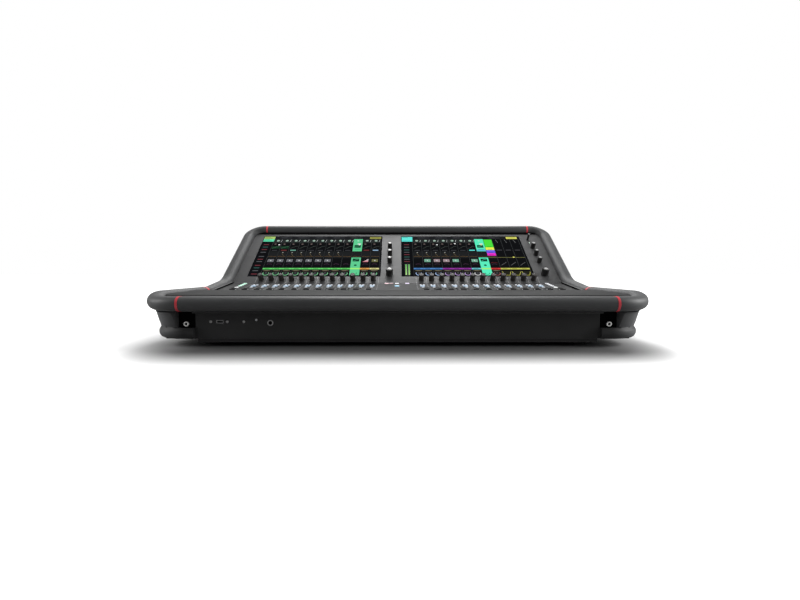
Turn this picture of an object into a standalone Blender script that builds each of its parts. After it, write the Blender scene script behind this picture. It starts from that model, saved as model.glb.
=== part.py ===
"""Digital mixing console: twenty-four faders, two touch screens and a soft rim that wraps it.

Run with: blender --background --python part.py
Lengths are in metres. +X is the operator's right, +Y the back, +Z up, and the origin is on
the table under the middle of the console. Each sub-part is one object in "mixing_console".
"""

from math import asin, atan2, cos, hypot, pi, radians, sin, sqrt, tan

import bmesh
import bpy
from mathutils import Matrix, Vector

GAP = 0.0003  # between pieces that touch

# Overall size, and the soft rim whose outside sets it
WIDTH = 0.911
DEPTH = 0.624
HEIGHT = 0.269
RIM_WIDTH = 0.031
RIM_HEIGHT = 0.028
RIM_SQUARENESS = 2.3  # exponent of the section: 2 is an ellipse
RIM_SIDES = 16
RIM_FRONT_Z = 0.0772  # centre of the rim at the front
RAIL_RISE = 0.006  # side rails over the front bumper
RAIL_RISE_PLACE = (0.0215, 0.085)  # start behind the bumper's centre line, length
RAIL_RISE_STEPS = 3
RAIL_TILT = radians(8.7)  # from the knee up to the fold
RAIL_DROP = 0.0019  # rails' centre line under the fold
KNEE_RADIUS = 0.100
RIM_CORNER_RADIUS = 0.0675
RIM_BEND_RADIUS = 0.110
HOOD_CORNER_RADIUS = 0.0415
RIM_SEAM = 0.0025  # the seams lie this far inside the ends of the straight stretches

# The two working planes meet in a fold line
FOLD_BACK = 0.2149  # from the fold back to the hood rail's centre
FOLD_Z = 0.1015
PANEL_TILT = radians(7.0)
HOOD_DROP = 0.00121  # hood rail's centre under the fascia's top face
PLATE = 0.002  # fader plate
FASCIA = 0.0025  # screen fascia
RIM_CLEARANCE = 0.001  # plates to the rim beside them

# Sheet-metal chassis and its panels
SHEET = 0.002
FLOOR_Z = 0.008
CHASSIS_INSET = 0.034  # side plates inside the rails' centre lines
CHASSIS_FRONT_INSET = 0.0155  # front wall behind the bumper's centre line
CHASSIS_REAR_INSET = 0.0105
SHELF_DEPTH = 0.021
SHELF_INSET = 0.002  # ends of the shelf inside those of the front panel
SIDE_PLATE_DROP = 0.006  # top of the side plates below the hood rail
FRONT_PANEL_INSET = 0.0205  # ends of the front panel inside the rim's straight stretch
FRONT_PANEL = 0.003
FRONT_PANEL_BOTTOM = 0.015

# Palm rest
PALM_INSET = 0.0135  # front edge of the palm rest behind the bumper's centre line
PALM_SIDE_INSET = 0.016  # its sides inside the rails' centre lines
PALM_CORNER_INSET = 0.0175  # its corner radius less than the rim's
PALM_TILT = radians(0.9)
PALM_RISE = 0.0134  # top of the palm rest over the rim's centre
PALM_LAP = 0.0053  # over the front edge of the fader plate
PALM_WALL = 0.003
PALM_SKIRT = 0.0025

# Channel strips
BANK_STRIPS = 12
BANK_INNER_X = 0.0623  # first strip of each bank
BANK_MARGIN = 0.0697  # last strip of each bank to the end of the fader plate
FADER_TRAVEL = 0.100
FADER_REST = 0.184  # distance in front of the fold, cap at the bottom of its travel
STEM_WIDTH = 0.0016
STEM_LENGTH = 0.005
STEM_DEPTH = 0.010
SLOT_SIDE_CLEARANCE = 0.0006
SLOT_END_CLEARANCE = 0.0035
CAP_WIDTH = 0.0125
CAP_LENGTH = 0.0185
CAP_HEIGHT = 0.0135
CAP_STANDOFF = 0.0035
CAP_TAPER = 0.76
MODULE_WIDTH = 0.0125
MODULE_OVERHANG = 0.004
MODULE_DEPTH = 0.028
MODULE_POCKET_WIDTH = 0.004
MODULE_POCKET_DEPTH = 0.012
MODULE_BAR = 0.020
PLATE_MARGIN = 0.016  # fader plate in front of the modules

# Keys: width across the strip, length along it, and how far they stand out
KEY_PROUD = 0.0022
KEY_MAT = 0.0010  # the mat that joins a group's keys under the plate
KEY_MAT_WIDTH = 0.005
LAYER_MAT_ROW = 0.024
UPPER_KEY = (0.0052, 0.0058)
UPPER_KEY_OFFSET = 0.0038
UPPER_KEY_ROW = 0.034
SELECT_KEY = (0.0110, 0.0066)
SELECT_KEY_ROW = 0.051
MUTE_KEY = (0.0066, 0.0060)
MUTE_KEY_ROW = 0.068
LAYER_KEY = (0.0095, 0.0056)
LAYER_KEYS = 6
LAYER_KEY_PITCH = 0.0125
LAYER_KEY_FIRST = 0.010
LAYER_KEY_MARGINS = (0.0355, 0.0415)  # left and right columns to the ends of the fader plate
CENTRE_KEY = (0.0100, 0.0066)
CENTRE_KEY_X = (-0.0270, -0.0155, -0.0008, 0.0256)
CENTRE_KEY_ROW = 0.0095
CENTRE_SELECT_X = -0.0008

# Touch screens, measured up the fascia from the fold
SCREEN_BOTTOM = 0.0285
SCREEN_TOP_MARGIN = 0.0350  # to the hood rail's centre
SCREEN_MARGINS = (0.0287, 0.0610)  # outer edges of the two screens to the ends of the fascia
SCREEN_SPACE = 0.0553  # between the two screens
SCREEN_LIP = 0.004  # housing wider than its window
SCREEN_HOUSING = 0.018

# Rotary encoders
STRIP_ENCODER_ROW = 0.0135
STRIP_ENCODER = (0.0070, 0.0185)  # radius, height
ENCODER_BOARD_WIDTH = 0.014
COLUMN_MARGINS = (0.0233, 0.0345)  # from the left screen, and to the right end of the fascia
LARGE_ENCODER = (0.0098, 0.0200)
LARGE_ENCODER_ROW = 0.037
SMALL_ENCODER = (0.0067, 0.0177)
SMALL_ENCODER_ROW = 0.0935
SMALL_ENCODER_PITCH = 0.0362
SMALL_ENCODERS = 3
TRIM_KNOB = (0.0034, 0.0210)
TRIM_KNOB_MARGINS = (0.0395, 0.0561)  # to the right end of the fascia and to the hood
SHAFT_RADIUS = 0.0030
TRIM_SHAFT_RADIUS = 0.0018
SHAFT_DEPTH = 0.007
KNOB_STANDOFF = 0.0008
KNOB_TAPER = 0.92

# Moulded end cheeks: how far each level is set in from the rim's outside
CHEEK_LEVELS = (
    (0.0150, 0.0330),
    (0.0165, 0.0280),
    (0.0195, 0.0235),
    (0.0245, 0.0210),
    (0.0290, 0.0215),
    (0.0325, 0.0235),
    (0.0350, 0.0246),
    (0.0450, 0.0210),
    (0.0600, 0.0156),
)
CHEEK_TOP_INSET = 0.0135
CHEEK_REAR_RADIUS = 0.030
CHEEK_UPPER_INSET = 0.0145
CHEEK_UPPER_LAP = 0.004  # wedge behind the chassis
CHEEK_CORNER_DROP = 0.003  # where the rail turns into the hood
RECESS_SIDES = (0.0, 0.0280)  # from the end of the front panel
RECESS_BOTTOM = 0.0346
RECESS_WALL = 0.003  # behind the recess

# Feet
FOOT_WIDTH = 0.024
FOOT_INSET = 0.073  # runners inside the side plates
FOOT_END_INSET = 0.062  # ends of the runners inside the console's depth
FOOT_TAPER = 0.85

# Front sockets: distance from the left end of the front panel, height, and size
USB_PLACE = (0.0424, 0.0446)
USB_SHELL = (0.0143, 0.0072)
USB_CAVITY = (0.0122, 0.0050)
USB_DEPTH = 0.016
LED_PLACE = (0.1060, 0.0479)
LED_RADIUS = 0.0022
JACK_PLACE = (0.1303, 0.0427)
JACK_RING = 0.00575
JACK_BARREL = 0.0050
JACK_BORE = 0.0033
JACK_DEPTH = 0.022
FRONT_BOARD = 0.018
FRONT_BOARD_DEPTH = 0.015
RING_PROUD = 0.0012

# Rear panel: the audio sockets count from its left end, the mains ones from its right end
XLR_COLUMNS = 8
XLR_PITCH = 0.036
XLR_MARGIN = 0.054
XLR_ROWS = (0.050, 0.092)
XLR_FLANGE = (0.026, 0.031)
XLR_FLANGE_THICK = 0.0020
XLR_SHELL = 0.0116
XLR_CAVITY = 0.0092
XLR_DEPTH = 0.020
XLR_CAVITY_DEPTH = 0.014
NETWORK_OFFSETS = (0.080, 0.120)  # from the last column of the others
NETWORK_CAVITY = (0.0120, 0.0090)
INLET_PLACE = (0.061, 0.036)
INLET_FLANGE = (0.050, 0.028)
INLET_BODY = (0.028, 0.020)
INLET_CAVITY = (0.0242, 0.0162)
INLET_DEPTH = 0.018
SWITCH_PLACE = (0.113, 0.036)
SWITCH_FLANGE = (0.018, 0.030)
SWITCH_BODY = (0.015, 0.026)
SWITCH_CAVITY = (0.0112, 0.0226)
ROCKER_RADIUS = 0.0110
ROCKER_SUNK = 0.0080  # axis behind the panel's outer face
ROCKER_DISH = 0.0022
VENT_SLOTS = 14
VENT_SIZE = (0.0045, 0.055)
VENT_PITCH = 0.011
VENT_X = (-0.240, 0.240)
VENT_DROP = 0.070  # middle of the vents under the hood rail's centre

# What the chassis holds
SUPPLY_SIZE = (0.190, 0.110, 0.045)
SUPPLY_INSET = (0.116, 0.086)  # its middle from the right side plate and the rear
BOARD_MARGINS = (0.056, 0.025)  # to the left side plate and to the supply
BOARD_LENGTH = 0.150
BOARD_THICKNESS = 0.0016
BOARD_REAR = 0.106  # its middle from the rear
BOARD_SPACER = 0.010
BOARD_SPACER_INSET = 0.010
BOARD_SPACER_RADIUS = 0.003
BOARD_CHIPS = ((-0.190, 0.030), (-0.040, 0.045), (0.120, 0.030))  # x, side

KNOB_SIDES = 12
ARC_STEPS = 8


# Scene, materials and basic shapes ---------------------------------------------------------
def clear_scene():
    """Remove the objects of the startup scene."""
    for item in list(bpy.data.objects):
        bpy.data.objects.remove(item, do_unlink=True)


def new_collection(name):
    """A collection linked to the scene."""
    found = bpy.data.collections.new(name)
    bpy.context.scene.collection.children.link(found)
    return found


clear_scene()
PARTS = new_collection("mixing_console")
HELPERS = new_collection("cutters")
HELPERS.hide_render = True


def finish(name, colour, roughness, metallic=0.0):
    """A Principled material."""
    made = bpy.data.materials.new(name)
    made.use_nodes = True
    shader = made.node_tree.nodes["Principled BSDF"]
    shader.inputs["Base Color"].default_value = (*colour, 1.0)
    shader.inputs["Roughness"].default_value = roughness
    shader.inputs["Metallic"].default_value = metallic
    return made


SOFT_RIM = ("soft_rim", (0.060, 0.062, 0.064), 0.55)
PANEL = ("panel_grey", (0.130, 0.130, 0.130), 0.50)
BLACK_METAL = ("black_metal", (0.012, 0.012, 0.012), 0.45)
BLACK_PLASTIC = ("black_plastic", (0.010, 0.010, 0.010), 0.40)
KEY_WHITE = ("key_white", (0.700, 0.720, 0.760), 0.35)
KEY_BLUE = ("key_blue", (0.200, 0.420, 0.750), 0.35)
GLASS = ("screen_glass", (0.005, 0.006, 0.008), 0.08)
GALVANISED = ("galvanised", (0.450, 0.460, 0.470), 0.45, 1.0)
RUBBER = ("rubber", (0.020, 0.020, 0.020), 0.85)
BOARD_GREEN = ("board_green", (0.020, 0.120, 0.060), 0.45)


def add_object(name, data, look=None, place=None):
    """Add data to the console, or to the helpers when it has no look."""
    made = bpy.data.objects.new(name, data)
    if place is not None:
        made.matrix_world = place
    if look is None:
        HELPERS.objects.link(made)
        made.hide_render = True
        made.display_type = "WIRE"
        return made
    PARTS.objects.link(made)
    data.materials.append(finish(name + "_" + look[0], *look[1:]))
    return made


def mesh_from(shape, name, smooth=False):
    """Turn a bmesh into a mesh."""
    mesh = bpy.data.meshes.new(name)
    shape.to_mesh(mesh)
    shape.free()
    if smooth:
        mesh.shade_smooth()
        mesh.set_sharp_from_angle(angle=radians(40))
    return mesh


def add_box(shape, low, high):
    """Add a box between two corners to a bmesh."""
    low, high = Vector(low), Vector(high)
    grow = Matrix.Diagonal((*(high - low), 1.0))
    made = bmesh.ops.create_cube(shape, size=1.0, matrix=Matrix.Translation((low + high) / 2) @ grow)
    return made["verts"]


def add_disc(shape, radius, low, high, at=(0.0, 0.0), top=1.0, sides=KNOB_SIDES):
    """Add a cylinder along local Z between two heights; top is its end's share of the radius."""
    bmesh.ops.create_cone(
        shape, cap_ends=True, segments=sides, radius1=radius, radius2=radius * top,
        depth=high - low, matrix=Matrix.Translation((*at, (low + high) / 2)),
    )


def combine(target, other, operation="DIFFERENCE"):
    """Cut, join or intersect target with a helper."""
    step = target.modifiers.new(operation.lower() + "_" + other.name, "BOOLEAN")
    step.operation = operation
    step.solver = "EXACT"
    step.object = other


def arc(centre, radius, start, end, steps=ARC_STEPS):
    """Points of a plane arc, both ends included."""
    return [
        (centre[0] + radius * cos(start + (end - start) * i / steps),
         centre[1] + radius * sin(start + (end - start) * i / steps))
        for i in range(steps + 1)
    ]


def plate_mesh(name, outline, thickness):
    """A flat plate of the outline, its top at local z = 0."""
    curve = bpy.data.curves.new(name, "CURVE")
    curve.dimensions = "2D"
    curve.fill_mode = "BOTH"
    curve.extrude = thickness / 2
    spline = curve.splines.new("POLY")
    spline.points.add(len(outline) - 1)
    for point, (x, y) in zip(spline.points, outline):
        point.co = (x, y, 0.0, 1.0)
    spline.use_cyclic_u = True
    source = add_object(name + "_outline", curve)
    evaluated = source.evaluated_get(bpy.context.evaluated_depsgraph_get())
    mesh = bpy.data.meshes.new_from_object(evaluated)
    bpy.data.objects.remove(source, do_unlink=True)
    shape = bmesh.new()
    shape.from_mesh(mesh)
    bmesh.ops.remove_doubles(shape, verts=shape.verts, dist=1e-6)
    bmesh.ops.translate(shape, verts=shape.verts, vec=(0.0, 0.0, -thickness / 2))
    bmesh.ops.recalc_face_normals(shape, faces=shape.faces)
    shape.to_mesh(mesh)
    shape.free()
    return mesh


# Planes and the values that several pieces share ---------------------------------------------
RIM_X = WIDTH / 2 - RIM_WIDTH / 2
RIM_FRONT_Y = -DEPTH / 2 + RIM_WIDTH / 2
HOOD_Y = DEPTH / 2 - RIM_WIDTH / 2
HOOD_Z = HEIGHT - RIM_HEIGHT / 2
CORNER_X = RIM_X - RIM_CORNER_RADIUS
HOOD_CORNER_X = RIM_X - HOOD_CORNER_RADIUS
FRONT_SEAM_X = CORNER_X - RIM_SEAM
HOOD_SEAM_X = HOOD_CORNER_X - RIM_SEAM
PLATE_HALF = RIM_X - RIM_WIDTH / 2 - RIM_CLEARANCE

FOLD_Y = HOOD_Y - FOLD_BACK
HOOD_RISE = HOOD_Z - FOLD_Z
SCREEN_TILT = atan2(HOOD_RISE, FOLD_BACK) + asin(HOOD_DROP / hypot(HOOD_RISE, FOLD_BACK))
HOOD_ROW = FOLD_BACK * cos(SCREEN_TILT) + HOOD_RISE * sin(SCREEN_TILT)
PANEL_PLANE = Matrix.Translation((0.0, FOLD_Y, FOLD_Z)) @ Matrix.Rotation(PANEL_TILT, 4, "X")
SCREEN_PLANE = Matrix.Translation((0.0, FOLD_Y, FOLD_Z)) @ Matrix.Rotation(SCREEN_TILT, 4, "X")
SIDEWAYS = Matrix(((0, 0, 1, 0), (1, 0, 0, 0), (0, 1, 0, 0), (0, 0, 0, 1)))  # local x, y to Y, Z
TO_FRONT = Matrix.Rotation(pi / 2, 4, "X")  # local z to -Y, local y to Z
TO_REAR = Matrix.Rotation(-pi / 2, 4, "X")  # local z to +Y, local y to -Z

CHASSIS_HALF = RIM_X - CHASSIS_INSET
CHASSIS_FRONT_Y = RIM_FRONT_Y + CHASSIS_FRONT_INSET
CHASSIS_REAR_Y = HOOD_Y - CHASSIS_REAR_INSET
SHELF_TOP = RIM_FRONT_Z - RIM_HEIGHT / 2 - GAP
FRONT_PANEL_HALF = CORNER_X - FRONT_PANEL_INSET
FRONT_PANEL_Y = CHASSIS_FRONT_Y - GAP  # back of the front panel
FRONT_FACE_Y = FRONT_PANEL_Y - FRONT_PANEL
REAR_FACE_Y = CHASSIS_REAR_Y + GAP + SHEET
FRONT_PLANE = Matrix.Translation((0.0, FRONT_FACE_Y, 0.0)) @ TO_FRONT
REAR_PLANE = Matrix.Translation((0.0, REAR_FACE_Y, 0.0)) @ TO_REAR
USB_AT, LED_AT, JACK_AT = (
    (x - FRONT_PANEL_HALF, z) for x, z in (USB_PLACE, LED_PLACE, JACK_PLACE)
)
INLET_AT, SWITCH_AT = ((CHASSIS_HALF - x, z) for x, z in (INLET_PLACE, SWITCH_PLACE))
XLR_X = [XLR_MARGIN - CHASSIS_HALF + XLR_PITCH * i for i in range(XLR_COLUMNS)]
NETWORK_X = [XLR_X[-1] + offset for offset in NETWORK_OFFSETS]
SUPPLY_AT = (CHASSIS_HALF - SUPPLY_INSET[0], CHASSIS_REAR_Y - SUPPLY_INSET[1])

SLOT_LENGTH = FADER_TRAVEL + STEM_LENGTH + 2 * SLOT_END_CLEARANCE
MODULE_LENGTH = SLOT_LENGTH + 2 * MODULE_OVERHANG
SLOT_CENTRE = FADER_REST - FADER_TRAVEL / 2
PLATE_FRONT_ROW = SLOT_CENTRE + MODULE_LENGTH / 2 + PLATE_MARGIN  # front edge of the fader plate
PLATE_FRONT_Y = FOLD_Y - PLATE_FRONT_ROW * cos(PANEL_TILT)
PALM_FRONT_Z = RIM_FRONT_Z + PALM_RISE
PALM_REAR_Y = PLATE_FRONT_Y + PALM_LAP
STRIP_PITCH = (PLATE_HALF - BANK_MARGIN - BANK_INNER_X) / (BANK_STRIPS - 1)
STRIP_X = [
    side * (BANK_INNER_X + STRIP_PITCH * i) for side in (-1, 1) for i in range(BANK_STRIPS)
]
LAYER_KEY_X = (LAYER_KEY_MARGINS[0] - PLATE_HALF, PLATE_HALF - LAYER_KEY_MARGINS[1])
SCREEN_WIDTH = PLATE_HALF - (sum(SCREEN_MARGINS) + SCREEN_SPACE) / 2
SCREEN_LENGTH = HOOD_ROW - SCREEN_TOP_MARGIN - SCREEN_BOTTOM
SCREEN_LEFT_X = (SCREEN_MARGINS[0] - PLATE_HALF, PLATE_HALF - SCREEN_MARGINS[1] - SCREEN_WIDTH)
COLUMN_X = (SCREEN_LEFT_X[0] + SCREEN_WIDTH + COLUMN_MARGINS[0], PLATE_HALF - COLUMN_MARGINS[1])
TRIM_KNOB_AT = (PLATE_HALF - TRIM_KNOB_MARGINS[0], HOOD_ROW - TRIM_KNOB_MARGINS[1])


def rim_z(y):
    """Height of the rim's centre line from the front as far as the knee."""
    start, length = RAIL_RISE_PLACE
    share = min(max((y - RIM_FRONT_Y - start) / length, 0.0), 1.0)
    return RIM_FRONT_Z + RAIL_RISE * share**2 * (3 - 2 * share)


def slope_z(y, start_y, start_z, tilt, below=0.0):
    """Height at y of a plane through a point, or of one a distance below it."""
    return start_z + (y - start_y) * tan(tilt) - below / cos(tilt)


def rail_rows():
    """Places along the side where the rail's height is set before the knee."""
    first, last = RIM_FRONT_Y + RIM_CORNER_RADIUS, RIM_FRONT_Y + sum(RAIL_RISE_PLACE)
    steps = range(1, RAIL_RISE_STEPS + 1)
    return [first + (last - first) * step / RAIL_RISE_STEPS for step in steps]


def rail_bends():
    """Where the rail's level stretch, its rise to the fold and its slope to the hood would cross."""
    level, fold = RIM_FRONT_Z + RAIL_RISE, FOLD_Z - RAIL_DROP
    knee_y = FOLD_Y + (level - fold) / tan(RAIL_TILT)
    slope = HOOD_Z - HOOD_Y * tan(SCREEN_TILT)
    fold_y = (fold - FOLD_Y * tan(RAIL_TILT) - slope) / (tan(SCREEN_TILT) - tan(RAIL_TILT))
    return (knee_y, level), (fold_y, slope + fold_y * tan(SCREEN_TILT))


# Rim ---------------------------------------------------------------------------------------
def rim_profile():
    """Closed outline of the rim's section, used as the bevel of its curves."""
    curve = bpy.data.curves.new("rim_section", "CURVE")
    spline = curve.splines.new("POLY")
    spline.points.add(RIM_SIDES - 1)
    power = 2 / RIM_SQUARENESS
    for i, point in enumerate(spline.points):
        turn = -2 * pi * (i + 0.5) / RIM_SIDES
        across = abs(cos(turn)) ** power * (1 if cos(turn) > 0 else -1)
        up = abs(sin(turn)) ** power * (1 if sin(turn) > 0 else -1)
        point.co = (across, up, 0.0, 1.0)
    widest = max(abs(point.co.x) for point in spline.points)
    highest = max(abs(point.co.y) for point in spline.points)
    for point in spline.points:
        point.co.x *= RIM_WIDTH / 2 / widest
        point.co.y *= RIM_HEIGHT / 2 / highest
    spline.use_cyclic_u = True
    return add_object("rim_section", curve)


def tube(name, line, section):
    """A solid of the rim's section swept along a line."""
    curve = bpy.data.curves.new(name, "CURVE")
    curve.dimensions = "3D"
    curve.twist_mode = "Z_UP"
    curve.bevel_mode = "OBJECT"
    curve.bevel_object = section
    curve.use_fill_caps = True
    spline = curve.splines.new("POLY")
    spline.points.add(len(line) - 1)
    for point, place in zip(spline.points, line):
        point.co = (*place, 1.0)
    return add_object(name, curve, SOFT_RIM)


def corner_line():
    """Right front corner of the rim, from the seam at the front to the side."""
    turn = arc((CORNER_X, RIM_FRONT_Y + RIM_CORNER_RADIUS), RIM_CORNER_RADIUS, -pi / 2, 0.0)
    line = [(FRONT_SEAM_X + GAP / 2, RIM_FRONT_Y, rim_z(RIM_FRONT_Y))]
    return line + [(x, y, rim_z(y)) for x, y in turn]


def bend(place, radius, low, high, steps=ARC_STEPS):
    """Arc in Y and Z that turns a rising line into a steeper one near a place."""
    y, z = place
    reach = radius * tan((high - low) / 2)
    centre = (y - reach * cos(low) - radius * sin(low), z - reach * sin(low) + radius * cos(low))
    return arc(centre, radius, low - pi / 2, high - pi / 2, steps)


def rail_line():
    """Right rail of the rim: round the front corner, along the side and up to the hood."""
    knee, fold = rail_bends()
    side = [(y, rim_z(y)) for y in rail_rows()]
    side += bend(knee, KNEE_RADIUS, 0.0, RAIL_TILT, RAIL_RISE_STEPS)
    side += bend(fold, RIM_BEND_RADIUS, RAIL_TILT, SCREEN_TILT)
    line = corner_line() + [(RIM_X, y, z) for y, z in side]
    turn = arc((HOOD_CORNER_X, -HOOD_CORNER_RADIUS), HOOD_CORNER_RADIUS, 0.0, pi / 2)
    line += [(x, HOOD_Y + row * cos(SCREEN_TILT), HOOD_Z + row * sin(SCREEN_TILT))
             for x, row in turn]
    return line + [(HOOD_SEAM_X + GAP / 2, HOOD_Y, HOOD_Z)]


def mirrored(line):
    """The same line on the other side of the console."""
    return [(-x, y, z) for x, y, z in line]


def make_rim():
    """Front bumper, the two side rails and the hood rail, end to end."""
    section = rim_profile()
    front, hood = FRONT_SEAM_X - GAP / 2, HOOD_SEAM_X - GAP / 2
    low = rim_z(RIM_FRONT_Y)
    tube("front_bumper", [(-front, RIM_FRONT_Y, low), (front, RIM_FRONT_Y, low)], section)
    tube("hood_rail", [(-hood, HOOD_Y, HOOD_Z), (hood, HOOD_Y, HOOD_Z)], section)
    tube("right_rail", rail_line(), section)
    tube("left_rail", mirrored(rail_line()), section)


# Palm rest ------------------------------------------------------------------------------------
def palm_z(y, below=0.0):
    """Height of the palm rest's top, or of a plane below it."""
    return slope_z(y, RIM_FRONT_Y + PALM_INSET, PALM_FRONT_Z, PALM_TILT, below)


def make_palm_rest():
    """Top moulding in front of the faders, with a skirt that stands on the fader plate."""
    front_y = RIM_FRONT_Y + PALM_INSET
    half = RIM_X - PALM_SIDE_INSET
    length = PALM_REAR_Y - front_y
    radius = RIM_CORNER_RADIUS - PALM_CORNER_INSET
    corner = (half - radius, radius)
    right = arc(corner, radius, -pi / 2, 0.0)
    outline = right + [(half, length), (-half, length)] + [(-x, y) for x, y in reversed(right)]
    place = Matrix.Translation((0.0, front_y, PALM_FRONT_Z)) @ Matrix.Rotation(PALM_TILT, 4, "X")
    mesh = plate_mesh("palm_rest", outline, PALM_WALL)
    palm = add_object("palm_rest", mesh, SOFT_RIM, place)
    skirt = bmesh.new()
    foot = slope_z(PALM_REAR_Y, FOLD_Y, FOLD_Z, PANEL_TILT) + 2 * GAP
    add_box(skirt, (-PLATE_HALF, PALM_REAR_Y - PALM_SKIRT - GAP, foot),
            (PLATE_HALF, PALM_REAR_Y - GAP, palm_z(PALM_REAR_Y, PALM_WALL / 2)))
    combine(palm, add_object("palm_skirt", mesh_from(skirt, "palm_skirt")), "UNION")


# Chassis ------------------------------------------------------------------------------------
def side_plate_outline():
    """Side of the chassis in Y and Z: it carries the palm rest, the fader plate and the fascia."""
    top = HOOD_Z - RIM_HEIGHT / 2 - SIDE_PLATE_DROP
    under_fascia = FASCIA + GAP
    top_y = FOLD_Y + (top - FOLD_Z + under_fascia / cos(SCREEN_TILT)) / tan(SCREEN_TILT)
    inner = RIM_CORNER_RADIUS - RIM_WIDTH / 2 - RIM_CLEARANCE
    front = RIM_FRONT_Y + RIM_CORNER_RADIUS - sqrt(inner**2 - (CHASSIS_HALF - CORNER_X) ** 2)
    fold_under = FOLD_Y + (PLATE + GAP) * tan((SCREEN_TILT - PANEL_TILT) / 2)
    plate_under = slope_z(PLATE_FRONT_Y, FOLD_Y, FOLD_Z, PANEL_TILT, PLATE + GAP)
    step_y = PLATE_FRONT_Y - PALM_SKIRT
    return [
        (CHASSIS_FRONT_Y, FLOOR_Z + SHEET / 2), (CHASSIS_REAR_Y, FLOOR_Z + SHEET / 2),
        (CHASSIS_REAR_Y, top), (top_y, top),
        (fold_under, slope_z(fold_under, FOLD_Y, FOLD_Z, PANEL_TILT, FASCIA + 2 * GAP)),
        (PLATE_FRONT_Y, plate_under), (step_y, plate_under), (step_y, palm_z(step_y, PALM_WALL + GAP)),
        (front, palm_z(front, PALM_WALL + GAP)), (front, SHELF_TOP - SHEET),
        (CHASSIS_FRONT_Y, SHELF_TOP - SHEET),
    ]


def make_chassis():
    """Folded tray: floor, front wall with the bumper's shelf, and two side plates."""
    floor = bmesh.new()
    add_box(floor, (-CHASSIS_HALF + SHEET / 2, CHASSIS_FRONT_Y + SHEET / 2, FLOOR_Z),
            (CHASSIS_HALF - SHEET / 2, CHASSIS_REAR_Y, FLOOR_Z + SHEET))
    chassis = add_object("chassis", mesh_from(floor, "chassis"), GALVANISED)
    wall = bmesh.new()
    add_box(wall, (-CHASSIS_HALF + SHEET / 2, CHASSIS_FRONT_Y, FLOOR_Z + SHEET / 2),
            (CHASSIS_HALF - SHEET / 2, CHASSIS_FRONT_Y + SHEET, SHELF_TOP - SHEET / 2))
    shelf = bmesh.new()
    shelf_half = FRONT_PANEL_HALF - SHELF_INSET
    add_box(shelf, (-shelf_half, CHASSIS_FRONT_Y - SHELF_DEPTH, SHELF_TOP - SHEET),
            (shelf_half, CHASSIS_FRONT_Y + SHEET / 2, SHELF_TOP))
    combine(chassis, add_object("chassis_wall", mesh_from(wall, "chassis_wall")), "UNION")
    combine(chassis, add_object("chassis_shelf", mesh_from(shelf, "chassis_shelf")), "UNION")
    for side, inner in (("left", -CHASSIS_HALF), ("right", CHASSIS_HALF - SHEET)):
        mesh = plate_mesh(side + "_side_plate", side_plate_outline(), SHEET)
        place = Matrix.Translation((inner + SHEET, 0.0, 0.0)) @ SIDEWAYS
        combine(chassis, add_object(side + "_side_plate", mesh, None, place), "UNION")
    combine(chassis, front_holes("chassis_front_holes", GAP))


# Front panel -----------------------------------------------------------------------------------
def front_holes(name, clearance):
    """Holes for the USB shell and the jack barrel through the front panel and wall."""
    holes = bmesh.new()
    reach = FRONT_PANEL + SHEET + 4 * GAP
    half_x, half_z = USB_SHELL[0] / 2 + clearance, USB_SHELL[1] / 2 + clearance
    add_box(holes, (USB_AT[0] - half_x, USB_AT[1] - half_z, -reach),
            (USB_AT[0] + half_x, USB_AT[1] + half_z, reach))
    add_disc(holes, JACK_BARREL + clearance, -reach, reach, JACK_AT)
    add_disc(holes, LED_RADIUS + clearance, -reach, reach, LED_AT)
    return add_object(name, mesh_from(holes, name), None, FRONT_PLANE)


def make_front_panel():
    """Flat black panel under the bumper."""
    panel = bmesh.new()
    add_box(panel, (-FRONT_PANEL_HALF, FRONT_FACE_Y, FRONT_PANEL_BOTTOM),
            (FRONT_PANEL_HALF, FRONT_PANEL_Y, SHELF_TOP - SHEET - GAP))
    front = add_object("front_panel", mesh_from(panel, "front_panel"), BLACK_METAL)
    combine(front, front_holes("panel_front_holes", GAP))


# Fader plate, fascia and screens ----------------------------------------------------------------
def strip_keys():
    """Centre and size of every key of each kind, on the fader plate."""
    upper = [(x + side * UPPER_KEY_OFFSET, -UPPER_KEY_ROW) for x in STRIP_X for side in (-1, 1)]
    layer = [(x, -LAYER_KEY_FIRST - LAYER_KEY_PITCH * i) for x in LAYER_KEY_X
             for i in range(LAYER_KEYS)]
    centre = [(x, -CENTRE_KEY_ROW) for x in CENTRE_KEY_X]
    return {
        "upper_keys": [(UPPER_KEY, at) for at in upper],
        "select_keys": [(SELECT_KEY, (x, -SELECT_KEY_ROW)) for x in STRIP_X + [CENTRE_SELECT_X]],
        "mute_keys": [(MUTE_KEY, (x, -MUTE_KEY_ROW)) for x in STRIP_X],
        "layer_keys": [(LAYER_KEY, at) for at in layer] + [(CENTRE_KEY, at) for at in centre],
    }


def key_shape(keys, low, high, grow=0.0):
    """One box for each key, between two heights above the plate."""
    shape = bmesh.new()
    for (width, length), (x, y) in keys:
        add_box(shape, (x - width / 2 - grow, y - length / 2 - grow, low),
                (x + width / 2 + grow, y + length / 2 + grow, high))
    return shape


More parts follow.
